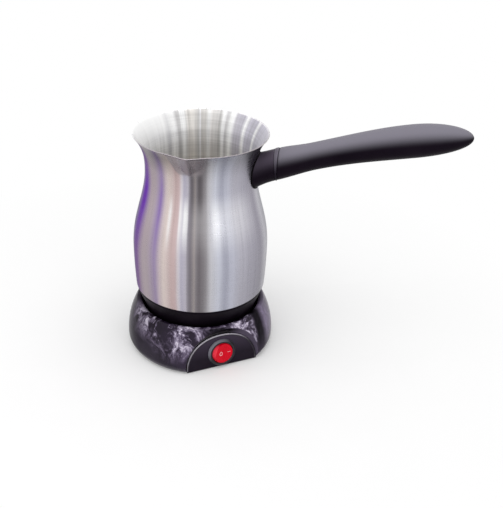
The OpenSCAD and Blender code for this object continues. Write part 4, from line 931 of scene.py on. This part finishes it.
def floor_white():
    """White floor that takes the object's soft shadow near it and glows white further off."""
    mat, tree, bsdf, at = start("floor", Roughness=0.8, Specular_IOR_Level=0.1)
    feed(tree, bsdf, Base_Color=mix(tree, noise(tree, at, 30.0, 3.0, 0.5), 0.95, 0.97))
    away = node(tree, "VectorMath", {"operation": "LENGTH"}, _0=at).outputs["Value"]
    white = times(tree, directly_seen(tree), spread(tree, away, 0.06, 0.32, 0.15, 1.0))
    glow = node(tree, "Emission", Color=1.0, Strength=1.0)
    both = node(tree, "MixShader", _0=white, _1=bsdf.outputs[0], _2=glow.outputs[0])
    feed(tree, tree.nodes["Material Output"], Surface=both.outputs[0])
    return mat


scene.world = studio()

FLOOR_HALF = 8
CORNERS = ((-1, -1), (1, -1), (1, 1), (-1, 1))
floor_mesh = bpy.data.meshes.new("floor")
floor_mesh.from_pydata([(FLOOR_HALF * x, FLOOR_HALF * y, 0) for x, y in CORNERS], [], [(0, 1, 2, 3)])
floor_mesh.materials.append(floor_white())
floor = bpy.data.objects.new("floor", floor_mesh)
scene.collection.objects.link(floor)

# ------------------------------------------------------------------ lights and camera

LIT_PLACE = Vector((0.03, 0, 0.09))


def lamp(name, azimuth, elevation, distance, size, watts):
    """A soft rectangular lamp that faces the pot. Azimuth is 0 on the camera's side, and 90 at its right."""
    light = bpy.data.lights.new(name, "AREA")
    light.shape = "RECTANGLE"
    light.size, light.size_y = size
    light.energy = watts
    obj = bpy.data.objects.new(name, light)
    a = azimuth - 90 + VIEW_TURN
    outward = Vector((cos(elevation) * cos(a), cos(elevation) * sin(a), sin(elevation)))
    obj.location = LIT_PLACE + outward * distance
    obj.rotation_euler = (-outward).to_track_quat("-Z", "Y").to_euler()
    scene.collection.objects.link(obj)


lamp("key", -35, 62, 0.9, (0.55, 0.4), 1.6)
lamp("top", 60, 78, 0.9, (0.5, 0.35), 0.9)
lamp("strip_right", 33, 20, 0.8, (0.05, 0.5), 0.25)
lamp("strip_left", -80, 25, 0.8, (0.06, 0.5), 0.25)

# Fitted to the photo's outline: the focal length in its pixels, the rest in millimetres and degrees
FOCAL, DISTANCE, ELEVATION, ROLL = 820.0, 622.1, 29.5, 2.2
SHIFT_X, SHIFT_Y, TARGET = 38.6, 6.9, 63.9
SENSOR, PHOTO_SIDE = 36.0, 508

up_down = Matrix(((1, 0, 0), (0, sin(ELEVATION), cos(ELEVATION)), (0, -cos(ELEVATION), sin(ELEVATION))))
rolled = Matrix(((cos(ROLL), sin(ROLL), 0), (-sin(ROLL), cos(ROLL), 0), (0, 0, 1))) @ up_down
axes = Matrix.Rotation(math.radians(VIEW_TURN), 3, "Z") @ rolled.transposed()
cam_data = bpy.data.cameras.new("camera")
cam_data.sensor_width = SENSOR
cam_data.lens = FOCAL * SENSOR / PHOTO_SIDE
cam_data.clip_start, cam_data.clip_end = 0.01, 50.0
camera = bpy.data.objects.new("camera", cam_data)
place = Vector((0, 0, TARGET)) + axes @ Vector((SHIFT_X, SHIFT_Y, DISTANCE))
camera.matrix_world = Matrix.Translation(place * MM) @ axes.to_4x4()
scene.collection.objects.link(camera)
scene.camera = camera
